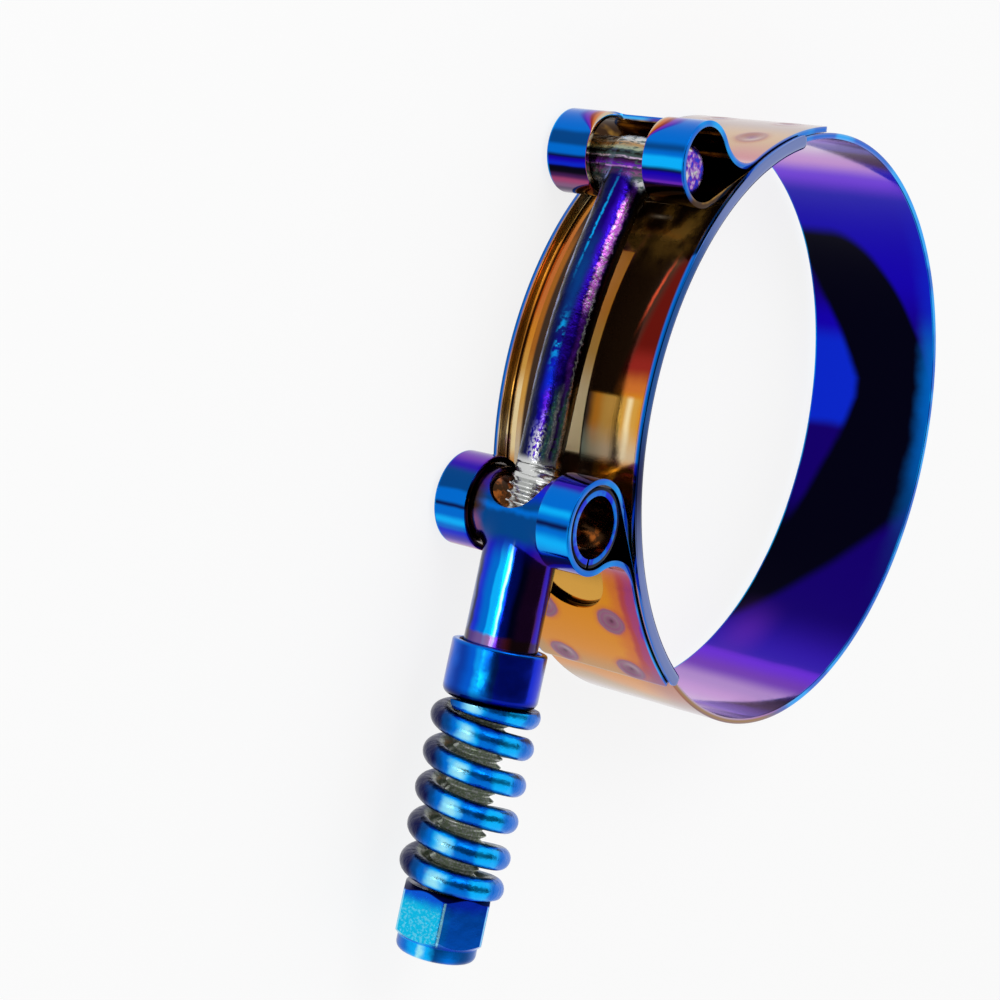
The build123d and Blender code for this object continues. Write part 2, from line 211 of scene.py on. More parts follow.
class ClampTints(bpy.types.PropertyGroup):
    """Colours that heat brings out on the steel, and colours of painted light and shade: glint, cream and
    cyan also serve as painted highlights, lavender as a painted sheen at grazing edges, and navy, ink, soot
    and midnight as painted dark reflections and shade.
    """
    silver: colour("Silver", "Bare steel", (0.62, 0.63, 0.62))
    straw: colour("Straw", "Palest tint, a straw cream", (0.62, 0.50, 0.34))
    gold: colour("Gold", "Gold tint", (0.66, 0.34, 0.055))
    orange: colour("Orange", "Orange tint", (0.60, 0.16, 0.025))
    brown: colour("Brown", "Dark brown tint", (0.045, 0.020, 0.008))
    red: colour("Red", "Red tint", (0.28, 0.018, 0.012))
    magenta: colour("Magenta", "Magenta tint", (0.36, 0.05, 0.16))
    lilac: colour("Lilac", "Lilac tint", (0.42, 0.22, 0.60))
    violet: colour("Violet", "Violet tint", (0.155, 0.022, 0.46))
    indigo: colour("Indigo", "Indigo tint", (0.028, 0.004, 0.42))
    blue: colour("Blue", "Full blue tint", (0.004, 0.022, 0.62))
    navy: colour("Navy", "Darkest blue tint", (0.003, 0.005, 0.06))
    azure: colour("Azure", "Bright light blue tint", (0.001, 0.15, 0.64))
    cyan: colour("Cyan", "Palest blue tint", (0.004, 0.44, 0.98))
    teal: colour("Teal", "Grey green tint", (0.05, 0.085, 0.08))
    pinkish: colour("Light rose", "Light rose tint", (0.62, 0.28, 0.32))
    rose: colour("Rose", "Red to pink tint", (0.42, 0.055, 0.06))
    ember: colour("Ember", "Glowing orange red", (0.85, 0.10, 0.03))
    plum: colour("Plum", "Dark purple tint", (0.055, 0.010, 0.085))
    lavender: colour("Lavender", "Pale grey violet tint", (0.15, 0.20, 0.44))
    soot: colour("Soot", "Near black brown", (0.012, 0.007, 0.004))
    weld: colour("Weld", "Grey violet round a spot weld", (0.20, 0.12, 0.20))
    orchid: colour("Orchid", "Light purple tint", (0.55, 0.25, 0.66))
    blush: colour("Blush", "Palest pink purple", (0.66, 0.50, 0.70))
    purple: colour("Purple", "Brightest purple tint", (0.14, 0.015, 0.70))
    midnight: colour("Midnight", "Dark indigo tint", (0.008, 0.0006, 0.15))
    ink: colour("Ink", "Near black blue", (0.0014, 0.0012, 0.007))
    ocean: colour("Ocean", "Deep sea blue tint", (0.002, 0.06, 0.25))
    tan: colour("Tan", "Dull gold tint", (0.44, 0.26, 0.11))
    dusty: colour("Dusty", "Grey pink tint", (0.42, 0.30, 0.28))
    mauve: colour("Mauve", "Dull purple tint", (0.22, 0.08, 0.20))
    peach: colour("Peach", "Pale peach tint", (0.63, 0.42, 0.26))
    amber: colour("Amber", "Deep gold tint", (0.67, 0.24, 0.012))
    deep: colour("Deep blue", "Deep blue tint", (0.008, 0.001, 0.42))
    maroon: colour("Maroon", "Darkest red tint", (0.13, 0.006, 0.003))
    aqua: colour("Aqua", "Greenish light blue tint", (0.005, 0.50, 0.80))
    glint: colour("Glint", "Pale blue of the brightest places", (0.34, 0.82, 0.97))
    bronze: colour("Bronze", "Dark gold tint", (0.40, 0.125, 0.006))
    cream: colour("Cream", "Palest gold of the brightest places", (0.92, 0.72, 0.38))
    fuchsia: colour("Fuchsia", "Bright purple pink tint", (0.72, 0.17, 0.84))
    sage: colour("Sage", "Green of thin tint on rough steel", (0.13, 0.42, 0.28))
    moss: colour("Moss", "Grey green of bare steel in shade", (0.36, 0.42, 0.30))


class ClampStage(bpy.types.PropertyGroup):
    """Floor, light and view."""
    floor: colour("Floor colour", "Colour of the floor", (0.86, 0.86, 0.86))
    floor_glow: fraction("Floor glow", "How far the floor is white to the camera and in the metal", 0.82)
    room_level: fraction("Room level", "Brightness of the surroundings as a light", 0.75)
    key_power: power("Key lamp", "Power of the large lamp", 0.9)
    strip_power: power("Strip lamp", "Power of the narrow lamp", 0.35)
    card_angle: angle("Card angle", "Angle of the dark card over the floor, seen along the bolt", 112.0)
    card_distance: length("Card distance", "Distance of the dark card from the bolt", 360.0)
    card_half: length("Card half width", "Half width of the dark card", 230.0)
    card_level: fraction("Card level", "Brightness of the dark card's middle", 0.10)
    card_core: fraction("Card core", "Share of the dark card's half width that is evenly dark", 0.45)
    lens: FloatProperty(name="Lens", description="Camera's focal length", default=74.23, min=1, unit="CAMERA")


def sizes(name):
    """The named group of sizes or colours on the scene."""
    return getattr(bpy.context.scene, "clamp_" + name)


def polar(radius, degree, centre=(0.0, 0.0)):
    """Point at a distance and an angle in degrees from a centre."""
    return Vector((centre[0] + radius * cos(radians(degree)), centre[1] + radius * sin(radians(degree))))


class Path:
    """A flat line of straight runs and arcs, read by the distance along it."""

    def __init__(self, start, heading):
        self.point = Vector(start)
        self.heading = heading
        self.length = 0.0
        self.pieces = []

    def straight(self, run):
        self.pieces.append((self.length, self.point, self.heading, 0.0))
        self.point = self.point + polar(run, self.heading)
        self.length += run

    def arc(self, radius, turn):
        """Turns by so many degrees, to the left when positive."""
        curve = (1 if turn > 0 else -1) / radius
        self.pieces.append((self.length, self.point, self.heading, curve))
        centre = self.point + polar(1 / curve, self.heading + 90)
        self.heading += turn
        self.point = centre - polar(1 / curve, self.heading + 90)
        self.length += radius * radians(abs(turn))

    def at(self, s):
        """Point and left-hand normal at a distance along the path."""
        begun, point, heading, curve = max((p for p in self.pieces if p[0] <= s + 1e-9), key=lambda p: p[0])
        run = s - begun
        if curve:
            centre = point + polar(1 / curve, heading + 90)
            heading += degrees(run * curve)
            return centre - polar(1 / curve, heading + 90), polar(1, heading + 90)
        return point + polar(run, heading), polar(1, heading + 90)


class Fold:
    """One end of the strip: inner leg, loop, bend back and leg on the ring."""

    def __init__(self, inner_radius, height, side):
        band = sizes("band")
        self.ring = band.bore_radius + band.thickness / 2
        self.leg = self.ring + band.thickness + band.fold_gap
        self.radius = inner_radius + band.thickness / 2
        distance = self.ring + self.radius + band.stand_off
        self.centre = Vector((-sqrt(distance**2 - height**2), height))
        middle = degrees(atan2(self.centre.y, self.centre.x)) % 360
        self.leaves_ring = middle + side * degrees(acos((self.ring + self.radius) / distance))
        self.meets_loop = self.leaves_ring + 180
        self.run = sqrt(distance**2 - (self.ring + self.radius)**2)
        reach = self.leg + band.bend_radius
        hold = self.radius + band.bend_radius
        swing = degrees(acos((distance**2 + reach**2 - hold**2) / (2 * distance * reach)))
        self.bend_angle = middle + side * swing
        step = polar(reach, self.bend_angle) - self.centre
        self.leaves_loop = degrees(atan2(step.y, step.x)) % 360
        self.land = degrees(band.leg_land / self.leg)
        self.loop_turn = side * (self.leaves_loop - self.meets_loop) % 360
        self.bend_turn = side * (self.leaves_loop - self.bend_angle) % 360


def folds():
    """The head's fold and the trunnion's fold."""
    band = sizes("band")
    return Fold(band.head_loop, band.head_rise, -1), Fold(band.lower_loop, -band.lower_drop, 1)


def bolt_line():
    """Where the bolt's axis and the pieces on it lie: x, and the heights of the cup, spring and nut."""
    lower = folds()[1]
    x, y = lower.centre
    spring = sizes("spring")
    top = y - sizes("trunnion").tube_length - spring.cup_wall
    return x, y, top, top - spring.free_length


def finish_mesh(bm, name, sharp=None):
    """Turns a bmesh into a smooth-shaded object in the scene."""
    mesh = bpy.data.meshes.new(name)
    bm.to_mesh(mesh)
    bm.free()
    mesh.shade_smooth()
    if sharp:
        mesh.set_sharp_from_angle(angle=radians(sharp))
    piece = bpy.data.objects.new(name, mesh)
    bpy.context.scene.collection.objects.link(piece)
    return piece


def weigh_normals(piece):
    """Lets the large faces set the shading beside rounded edges."""
    weighted = piece.modifiers.new("Weighted normals", "WEIGHTED_NORMAL")
    weighted.keep_sharp = True
    weighted.weight = 80


def steps(*marks):
    """Places from mark to mark; each mark is (place, spacing up to it)."""
    places = [marks[0][0]]
    for place, spacing in marks[1:]:
        count = max(1, ceil((place - places[-1]) / spacing - 1e-6))
        places += [float(x) for x in np.linspace(places[-1], place, count + 1)[1:]]
    return places


def flat_blank(columns, rows):
    """A flat sheet of faces with these places along it and across it."""
    bm = bmesh.new()
    bmesh.ops.create_grid(bm, x_segments=len(columns) - 1, y_segments=len(rows) - 1, size=1)
    for v in bm.verts:
        i = round((v.co.x + 1) / 2 * (len(columns) - 1))
        j = round((v.co.y + 1) / 2 * (len(rows) - 1))
        v.co = (columns[i], rows[j], 0)
    return bm


def corner_inset(across, half_width, radius):
    """How far a rounded end lies back at this distance from the middle."""
    beyond = abs(across) - (half_width - radius)
    if beyond <= 0:
        return 0.0
    return radius - sqrt(max(0.0, radius**2 - min(beyond, radius)**2))


def pull_column(bm, fixed, column, tip, half_width, radius, inside=True):
    """Pulls a column of a blank to a rounded end, and eases the columns between it and a fixed one."""
    for v in bm.verts:
        if (v.co.x - fixed) * (v.co.x - column) > 1e-12 or (inside and abs(v.co.y) > half_width + 1e-7):
            continue
        share = (v.co.x - fixed) / (column - fixed)
        side = 1 if column > fixed else -1
        inset = corner_inset(v.co.y, half_width, radius)
        target = tip + side * inset if inside else tip - side * inset
        v.co.x = fixed + share * (target - fixed)


def remove_faces(bm, test):
    """Removes the faces whose middle passes a test."""
    doomed = [f for f in bm.faces if test(f.calc_center_median())]
    bmesh.ops.delete(bm, geom=doomed, context="FACES")


def thicken_blank(bm, thickness, edge):
    """Gives a flat blank its thickness, and rounds its sheared edges."""
    grown = bmesh.ops.extrude_face_region(bm, geom=bm.faces[:])["geom"]
    raised = [g for g in grown if isinstance(g, bmesh.types.BMVert)]
    bmesh.ops.translate(bm, verts=raised, vec=(0, 0, thickness))
    bmesh.ops.translate(bm, verts=bm.verts[:], vec=(0, 0, -thickness / 2))
    bmesh.ops.recalc_face_normals(bm, faces=bm.faces[:])
    rims = [e for e in bm.edges if e.calc_face_angle(0) > 1.0]
    bmesh.ops.bevel(
        bm, geom=rims, offset=edge, offset_type="OFFSET", segments=2,
        profile=0.5, affect="EDGES", clamp_overlap=True, material=-1,
    )


def record_blank(bm, span, width, thickness):
    """Keeps each point's place on the flat blank, for the colours: UV along and across, and which skin."""
    uv = bm.loops.layers.uv.new("Blank")
    skin = bm.verts.layers.float.new("skin")
    for v in bm.verts:
        v[skin] = v.co.z / thickness + 0.5
    for face in bm.faces:
        for corner in face.loops:
            corner[uv].uv = (corner.vert.co.x / span, corner.vert.co.y / width + 0.5)


class CLAMP_OT_band(bpy.types.Operator):
    """Builds the strip as a flat blank with its slots and welds, and bends it into ring, loops and legs."""
    bl_idname = "clamp.band"
    bl_label = "Band"

    def execute(self, context):
        band = sizes("band")
        head, lower = folds()
        half = band.width / 2

        # The strip's path, from the lower leg's free end to the upper one's
        first = lower.bend_angle + lower.land
        path = Path(polar(lower.leg, first), first - 90)
        path.arc(lower.leg, -lower.land)
        lower_bend = path.length
        path.arc(band.bend_radius, lower.bend_turn)
        lower_loop = path.length
        path.arc(lower.radius, -lower.loop_turn)
        lower_leg = path.length
        path.straight(lower.run)
        ring_from = path.length
        path.arc(lower.ring, head.leaves_ring + 360 - lower.leaves_ring)
        ring_to = path.length
        path.straight(head.run)
        head_loop = path.length
        path.arc(head.radius, -head.loop_turn)
        head_bend = path.length
        path.arc(band.bend_radius, head.bend_turn)
        head_land = path.length
        path.arc(head.leg, -head.land)
        end = path.length

        # Columns along the blank
        slot_half = band.lower_slot / 2
        tip = lower_bend - band.lower_slot_past
        round_end = tip + slot_half
        slot_close = lower_loop + lower.radius * radians(lower.leaves_loop - band.lower_slot_from)
        head_open = head_loop + head.radius * radians(head.meets_loop - band.head_slot_to)
        head_close = head_loop + head.radius * radians((head.meets_loop - band.head_slot_from) % 360)
        corner = band.slot_corner
        columns = steps(
            (0, 1), (tip - 2 * MM, 0.42 * MM), (round_end, 0.42 * MM), (lower_loop, 0.4 * MM),
            (slot_close, 0.34 * MM), (lower_leg, 0.34 * MM), (ring_from, 0.9 * MM), (ring_to, 1.0 * MM),
            (head_loop, 0.9 * MM), (head_open, 0.3 * MM), (head_open + corner, 0.3 * MM),
            (head_close - corner, 0.3 * MM), (head_close, 0.3 * MM), (head_bend, 0.3 * MM),
            (head_land, 0.4 * MM), (end, 0.42 * MM),
        )
        narrow = band.head_slot / 2
        upper = steps((0, 1), (narrow - corner, 0.42 * MM), (narrow, 0.27 * MM))
        upper += [slot_half * sin(radians(a)) for a in (56, 63, 70, 78, 90)]
        upper += steps((slot_half, 1), (half - band.leg_corner, 0.42 * MM), (half, 0.2 * MM))[1:]
        rows = [-z for z in reversed(upper[1:])] + upper
        bm = flat_blank(columns, rows)

        # Slot ends, slots and the corners of the strip's ends
        remove_faces(bm, lambda c: abs(c.y) < slot_half and round_end < c.x < slot_close)
        remove_faces(bm, lambda c: abs(c.y) < narrow and head_open + corner < c.x < head_close - corner)
        pull_column(bm, tip - 2 * MM, round_end, tip, slot_half, slot_half)
        pull_column(bm, head_loop, head_open + corner, head_open, narrow, corner)
        pull_column(bm, head_bend, head_close - corner, head_close, narrow, corner)
        pull_column(bm, 3 * MM, 0.0, 0.0, half, band.leg_corner, inside=False)
        pull_column(bm, end - 3 * MM, end, end, half, band.leg_corner, inside=False)
        thicken_blank(bm, band.thickness, band.edge)

        # Weld dents on the outside of the legs, each with a low rim about a tenth wider than the dent
        rim_place = 1.12
        rim_half = 0.4
        welds = [
            (place, side * band.weld_offset)
            for place in (band.weld_first, band.weld_second, end - band.weld_first, end - band.weld_second)
            for side in (-1, 1)
        ]
        for v in bm.verts:
            if v.co.z < 0:
                continue
            for place, across in welds:
                reach = sqrt((v.co.x - place)**2 + (v.co.y - across)**2) / band.weld_radius
                if reach < rim_place + rim_half:
                    dent = max(0.0, 1 - reach**2)**1.5
                    rim = band.weld_rim * max(0.0, 1 - ((reach - rim_place) / rim_half)**2)
                    v.co.z -= band.weld_depth * (dent - rim)
        record_blank(bm, end, band.width, band.thickness)
        for v in bm.verts:
            point, out = path.at(min(max(v.co.x, 0.0), end))
            point = point + v.co.z * out
            v.co = (point.x, point.y, v.co.y)
        piece = finish_mesh(bm, "band_strip")
        weigh_normals(piece)
        piece.data.materials.append(band_steel(end, (lower_leg, ring_from, ring_to, head_loop), welds))
        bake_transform(piece)
        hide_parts("band")
        return {"FINISHED"}


class CLAMP_OT_bridge(bpy.types.Operator):
    """Builds the channel that covers the gap between the two loops."""
    bl_idname = "clamp.bridge"
    bl_label = "Bridge"

    def execute(self, context):
        band = sizes("band")
        bridge = sizes("bridge")
        middle = bridge.thickness / 2
        web = band.bore_radius - bridge.gap - middle
        side = band.width / 2 + bridge.side_gap + middle
        turn = bridge.bend_radius + middle
        section = Path((web - middle + bridge.flange, -side), 180)
        section.straight(bridge.flange - middle - turn)
        first = section.length
        section.arc(turn, -90)
        web_from = section.length
        section.straight(2 * (side - turn))
        web_to = section.length
        section.arc(turn, -90)
        last = section.length
        section.straight(bridge.flange - middle - turn)
        across = section.length
        span = web * radians(bridge.end - bridge.start)
        rows = steps(
            (0, 1), (first, 0.3 * MM), (web_from, 0.16 * MM), (web_to, 0.8 * MM),
            (last, 0.16 * MM), (across, 0.3 * MM),
        )
        rows = [w - across / 2 for w in rows]
        bm = flat_blank(steps((0, 1), (2 * MM, 0.4 * MM), (span - 2 * MM, 0.9 * MM), (span, 0.4 * MM)), rows)
        for fixed, tip in ((2 * MM, 0.0), (span - 2 * MM, span)):
            pull_column(bm, fixed, tip, tip, across / 2, 0.45 * MM, inside=False)
        thicken_blank(bm, bridge.thickness, bridge.edge)
        record_blank(bm, span, across, bridge.thickness)
        for v in bm.verts:
            point, out = section.at(min(max(v.co.y + across / 2, 0.0), across))
            point = point + v.co.z * out
            flat = polar(point.x, bridge.start + degrees(v.co.x / web))
            v.co = (flat.x, flat.y, point.y)
        bmesh.ops.recalc_face_normals(bm, faces=bm.faces[:])
        piece = finish_mesh(bm, "bridge_channel")
        weigh_normals(piece)
        piece.data.materials.append(bridge_steel(across))
        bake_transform(piece)
        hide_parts("bridge")
        return {"FINISHED"}


def join_solid(parts, voxel):
    """Welds overlapping closed shells of one bmesh into one even skin."""
    mesh = bpy.data.meshes.new("rough")
    parts.to_mesh(mesh)
    parts.free()
    rough = bpy.data.objects.new("rough", mesh)
    bpy.context.scene.collection.objects.link(rough)
    remesh = rough.modifiers.new("Remesh", "REMESH")
    remesh.mode = "VOXEL"
    remesh.voxel_size = voxel
    depsgraph = bpy.context.evaluated_depsgraph_get()
    skin = bmesh.new()
    skin.from_object(rough, depsgraph)
    bpy.data.objects.remove(rough)
    bpy.data.meshes.remove(mesh)
    return skin


def settle(bm, distance, rounds=5):
    """Moves each point of a skin onto the surface where a distance is nought."""
    points = np.array([v.co for v in bm.verts])
    small = 0.01 * MM
    for _ in range(rounds):
        here = distance(points)
        slope = np.stack([distance(points + step) - here for step in np.eye(3) * small], 1) / small
        slope /= np.maximum(np.linalg.norm(slope, axis=1, keepdims=True), 1e-9)
        points = points - np.clip(here, -0.3 * MM, 0.3 * MM)[:, None] * slope
    for v, point in zip(bm.verts, points):
        v.co = point


def round_union(a, b, radius):
    """Joins two distances with a fillet."""
    inner = np.maximum(np.stack([radius - a, radius - b]), 0)
    return np.maximum(radius, np.minimum(a, b)) - np.linalg.norm(inner, axis=0)


def once(items):
    """The items in their order, each taken once."""
    return list(dict.fromkeys(items))


def ring_of_verts(bm, centre, heading, radius, segments):
    """A circle of edges round a heading."""
    turned = Vector(heading).to_track_quat("Z", "Y").to_matrix().to_4x4()
    matrix = Matrix.Translation(centre) @ turned
    return bmesh.ops.create_circle(bm, segments=segments, radius=radius, matrix=matrix)["verts"]


def lathe(profile, axis_x, top_y, segments):
    """A solid of revolution about the bolt's axis from (radius, depth) points."""
    bm = bmesh.new()
    verts = [bm.verts.new((axis_x + r, top_y - d, 0)) for r, d in profile]
    edges = [bm.edges.new(pair) for pair in zip(verts, verts[1:] + verts[:1])]
    bmesh.ops.spin(
        bm, geom=verts + edges, cent=(axis_x, 0, 0), axis=(0, 1, 0), dvec=(0, 0, 0),
        angle=2 * pi, steps=segments, use_merge=True,
    )
    bmesh.ops.remove_doubles(bm, verts=bm.verts[:], dist=1e-7)
    bmesh.ops.recalc_face_normals(bm, faces=bm.faces[:])
    return bm


def rounded(points, radii, count=5):
    """A closed outline of (radius, depth) points with its corners rounded."""
    out = []
    for i, (point, radius) in enumerate(zip(points, radii)):
        here = Vector(point)
        before = Vector(points[i - 1])
        after = Vector(points[(i + 1) % len(points)])
        if radius <= 0:
            out.append(tuple(here))
            continue
        a = (before - here).normalized()
        b = (after - here).normalized()
        half = a.angle(b) / 2
        reach = min(radius / tan(half), 0.49 * (before - here).length, 0.49 * (after - here).length)
        centre = here + (a + b).normalized() * (reach / cos(half))
        size = reach * tan(half)
        start = here + a * reach - centre
        stop = here + b * reach - centre
        for k in range(count + 1):
            t = k / count
            swept = start.slerp(stop, t) if start.angle(stop) > 1e-3 else start.lerp(stop, t)
            out.append(tuple(centre + swept.normalized() * size))
    return out


class CLAMP_OT_bolt(bpy.types.Operator):
    """Builds the forged T-bolt with its cross bar, bent shank and helical thread."""
    bl_idname = "clamp.bolt"
    bl_label = "T-bolt"

    def execute(self, context):
        bolt = sizes("bolt")
        nut = sizes("nut")
        head = folds()[0]
        x, _, _, spring_end = bolt_line()
        pull = Vector((-sin(radians(bolt.shank_angle)), -cos(radians(bolt.shank_angle))))
        seat = head.radius - sizes("band").thickness / 2 - bolt.bar_diameter / 2 - bolt.seat_gap
        bar = head.centre + seat * pull
        step_x = bolt.shank_bend * (1 - cos(radians(bolt.shank_angle)))
        lean = (bar.x - x - step_x) / sin(radians(bolt.shank_angle))
        lean_end = bar + lean * pull
        bend_end = lean_end.y - bolt.shank_bend * sin(radians(bolt.shank_angle))

        # Rough shapes: bar, leaning shank, bend and straight run
        bm = bmesh.new()
        bmesh.ops.create_cone(
            bm, cap_ends=True, segments=40, radius1=bolt.bar_diameter / 2, radius2=bolt.bar_diameter / 2,
            depth=bolt.bar_length, matrix=Matrix.Translation((bar.x, bar.y, 0)),
        )
        ring = ring_of_verts(bm, (bar.x, bar.y, 0), (pull.x, pull.y, 0), bolt.shank_diameter / 2, 32)
        edges = once(e for v in ring for e in v.link_edges)
        bmesh.ops.edgeloop_fill(bm, edges=edges)
        for move in ("lean", "bend", "straight"):
            if move == "bend":
                spun = bmesh.ops.spin(
                    bm, geom=edges + ring, cent=(x + bolt.shank_bend, bend_end, 0), axis=(0, 0, 1),
                    dvec=(0, 0, 0), angle=radians(bolt.shank_angle), steps=14,
                )["geom_last"]
                edges = [g for g in spun if isinstance(g, bmesh.types.BMEdge)]
                ring = [g for g in spun if isinstance(g, bmesh.types.BMVert)]
                continue
            grown = bmesh.ops.extrude_edge_only(bm, edges=edges)["geom"]
            edges = [g for g in grown if isinstance(g, bmesh.types.BMEdge)]
            ring = [g for g in grown if isinstance(g, bmesh.types.BMVert)]
            edges = [e for e in edges if all(v in ring for v in e.verts)]
            shift = (*(lean * pull), 0) if move == "lean" else (0, bolt.thread_from - bend_end, 0)
            bmesh.ops.translate(bm, verts=ring, vec=shift)
        bmesh.ops.edgeloop_fill(bm, edges=edges)
        bmesh.ops.recalc_face_normals(bm, faces=bm.faces[:])
        skin = join_solid(bm, 0.2 * MM)

        # Even it out onto the true round shapes, with a fillet where the shank meets the bar
        line = [bar + pull * (lean * t / 219) for t in range(220)]
        centre = Vector((x + bolt.shank_bend, bend_end))
        line += [centre + polar(bolt.shank_bend, 180 - bolt.shank_angle * (1 - t / 219)) for t in range(220)]
        line += [Vector((x, bend_end + (bolt.thread_from - bend_end) * t / 89)) for t in range(90)]
        line = np.array(line)
        run = np.concatenate([[0], np.cumsum(np.linalg.norm(np.diff(line, axis=0), axis=1))])
        taper = np.clip(1 - run / bolt.neck_length, 0, 1)
        radii = bolt.shank_diameter / 2 + (bolt.neck_diameter - bolt.shank_diameter) / 2 * taper
        ease = bolt.bar_rounding

        def distance(p):
            flat = np.linalg.norm(p[:, :2] - np.array(bar), axis=1) - (bolt.bar_diameter / 2 - ease)
            along = np.abs(p[:, 2]) - (bolt.bar_length / 2 - ease)
            outside = np.linalg.norm(np.maximum(np.stack([flat, along]), 0), axis=0)
            cross = outside + np.minimum(np.maximum(flat, along), 0) - ease
            gap = np.empty(len(p))
            for i in range(0, len(p), 2000):
                part = p[i:i + 2000]
                away = np.linalg.norm(part[:, None, :2] - line[None], axis=2)
                near = away.argmin(1)
                flat_gap = away[np.arange(len(part)), near]
                gap[i:i + 2000] = np.hypot(flat_gap, part[:, 2]) - radii[near]
            body = np.maximum(gap, bolt.thread_from - p[:, 1])
            return round_union(cross, body, bolt.neck_fillet)

        settle(skin, distance, rounds=3)
        bmesh.ops.smooth_vert(
            skin, verts=skin.verts[:], factor=0.3, use_axis_x=True, use_axis_y=True, use_axis_z=True,
        )

        # Marks of the forging: swells and grain, strongest on the bar, and two ridges that the dies left
        skin.normal_update()
        for v in skin.verts:
            forged = max(0.0, 1 - (Vector(v.co.xy) - bar).length / (6 * MM))
            swell = noise.fractal(v.co / (1.6 * MM), 1.0, 2.0, 3)
            grain = noise.fractal(v.co / (0.45 * MM), 1.0, 2.0, 2)
            turn = degrees(atan2(v.co.y - bar.y, v.co.x - bar.x)) % 360
            ridges = sum(max(0.0, 1 - abs(turn - place) / 3.5) for place in (162, 176))
            flash = 0.10 * ridges * min(1.0, 3 * forged)
            v.co += v.normal * (swell * (0.02 + 0.07 * forged) + grain * 0.008 + flash) * MM

        # Thread: a V profile one pitch tall, wound down the straight run
        crest = bolt.thread_diameter / 2
        root = crest - bolt.thread_depth
        pitch = bolt.thread_pitch
        turns = ceil((bolt.thread_from - (spring_end - nut.height)) / pitch) + 3
        segments = 30
        thread = bmesh.new()
        shape = ((root, 0), (root, 0.16), (crest, 0.5), (crest, 0.64), (root, 1.0))
        start = bolt.thread_from + 1.5 * pitch
        verts = [thread.verts.new((x + r, start - d * pitch, 0)) for r, d in shape]
        edges = [thread.edges.new(pair) for pair in zip(verts, verts[1:])]
        bmesh.ops.spin(
            thread, geom=verts + edges, cent=(x, 0, 0), axis=(0, 1, 0), dvec=(0, -pitch / segments, 0),
            angle=2 * pi * turns, steps=segments * turns, use_merge=False,
        )
        bmesh.ops.remove_doubles(thread, verts=thread.verts[:], dist=0.002 * MM)
        tip = spring_end - nut.height + bolt.end_recess
        for y, side in ((bolt.thread_from, 1), (tip, -1)):
            cut = bmesh.ops.bisect_plane(
                thread, geom=thread.verts[:] + thread.edges[:] + thread.faces[:], dist=1e-7,
                plane_co=(x, y, 0), plane_no=(0, side, 0), clear_outer=True,
            )["geom_cut"]
            rim = [g for g in cut if isinstance(g, bmesh.types.BMEdge)]
            bmesh.ops.contextual_create(thread, geom=rim)
        for v in thread.verts:
            radius = sqrt((v.co.x - x)**2 + v.co.z**2)
            if radius < 0.1 * MM:
                continue
            runout = min(1.0, (bolt.thread_from - v.co.y) / (2.2 * pitch))
            wanted = bolt.shank_diameter / 2 + (radius - bolt.shank_diameter / 2) * max(0.0, runout)
            wanted = min(wanted, root - 0.1 * MM + (v.co.y - tip) * 0.9)
            v.co.x = x + (v.co.x - x) * wanted / radius
            v.co.z *= wanted / radius
        bmesh.ops.recalc_face_normals(thread, faces=thread.faces[:])
        bmesh.ops.triangulate(thread, faces=[f for f in thread.faces if len(f.verts) > 4])
        joined = bpy.data.meshes.new("thread")
        thread.to_mesh(joined)
        thread.free()
        skin.from_mesh(joined)
        bpy.data.meshes.remove(joined)
        piece = finish_mesh(skin, "t_bolt_forged", sharp=48)
        piece.data.materials.append(bolt_steel(bar, x, bend_end, bolt.thread_from))
        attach(piece, "clamp")
        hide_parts("t_bolt")
        return {"FINISHED"}


def cut_away(bm, planes):
    """Cuts out what lies behind all of these planes; each is (point, outward normal)."""
    inside = bm.faces[:]
    for point, normal in planes:
        verts = once(v for f in inside for v in f.verts)
        edges = once(e for f in inside for e in f.edges)
        cut = bmesh.ops.bisect_plane(
            bm, geom=verts + edges + inside, dist=1e-7, plane_co=point, plane_no=normal,
        )["geom"]
        inside = [
            g for g in cut
            if isinstance(g, bmesh.types.BMFace)
            and (g.calc_center_median() - Vector(point)).dot(Vector(normal)) < 0
        ]
    bmesh.ops.delete(bm, geom=inside, context="FACES")


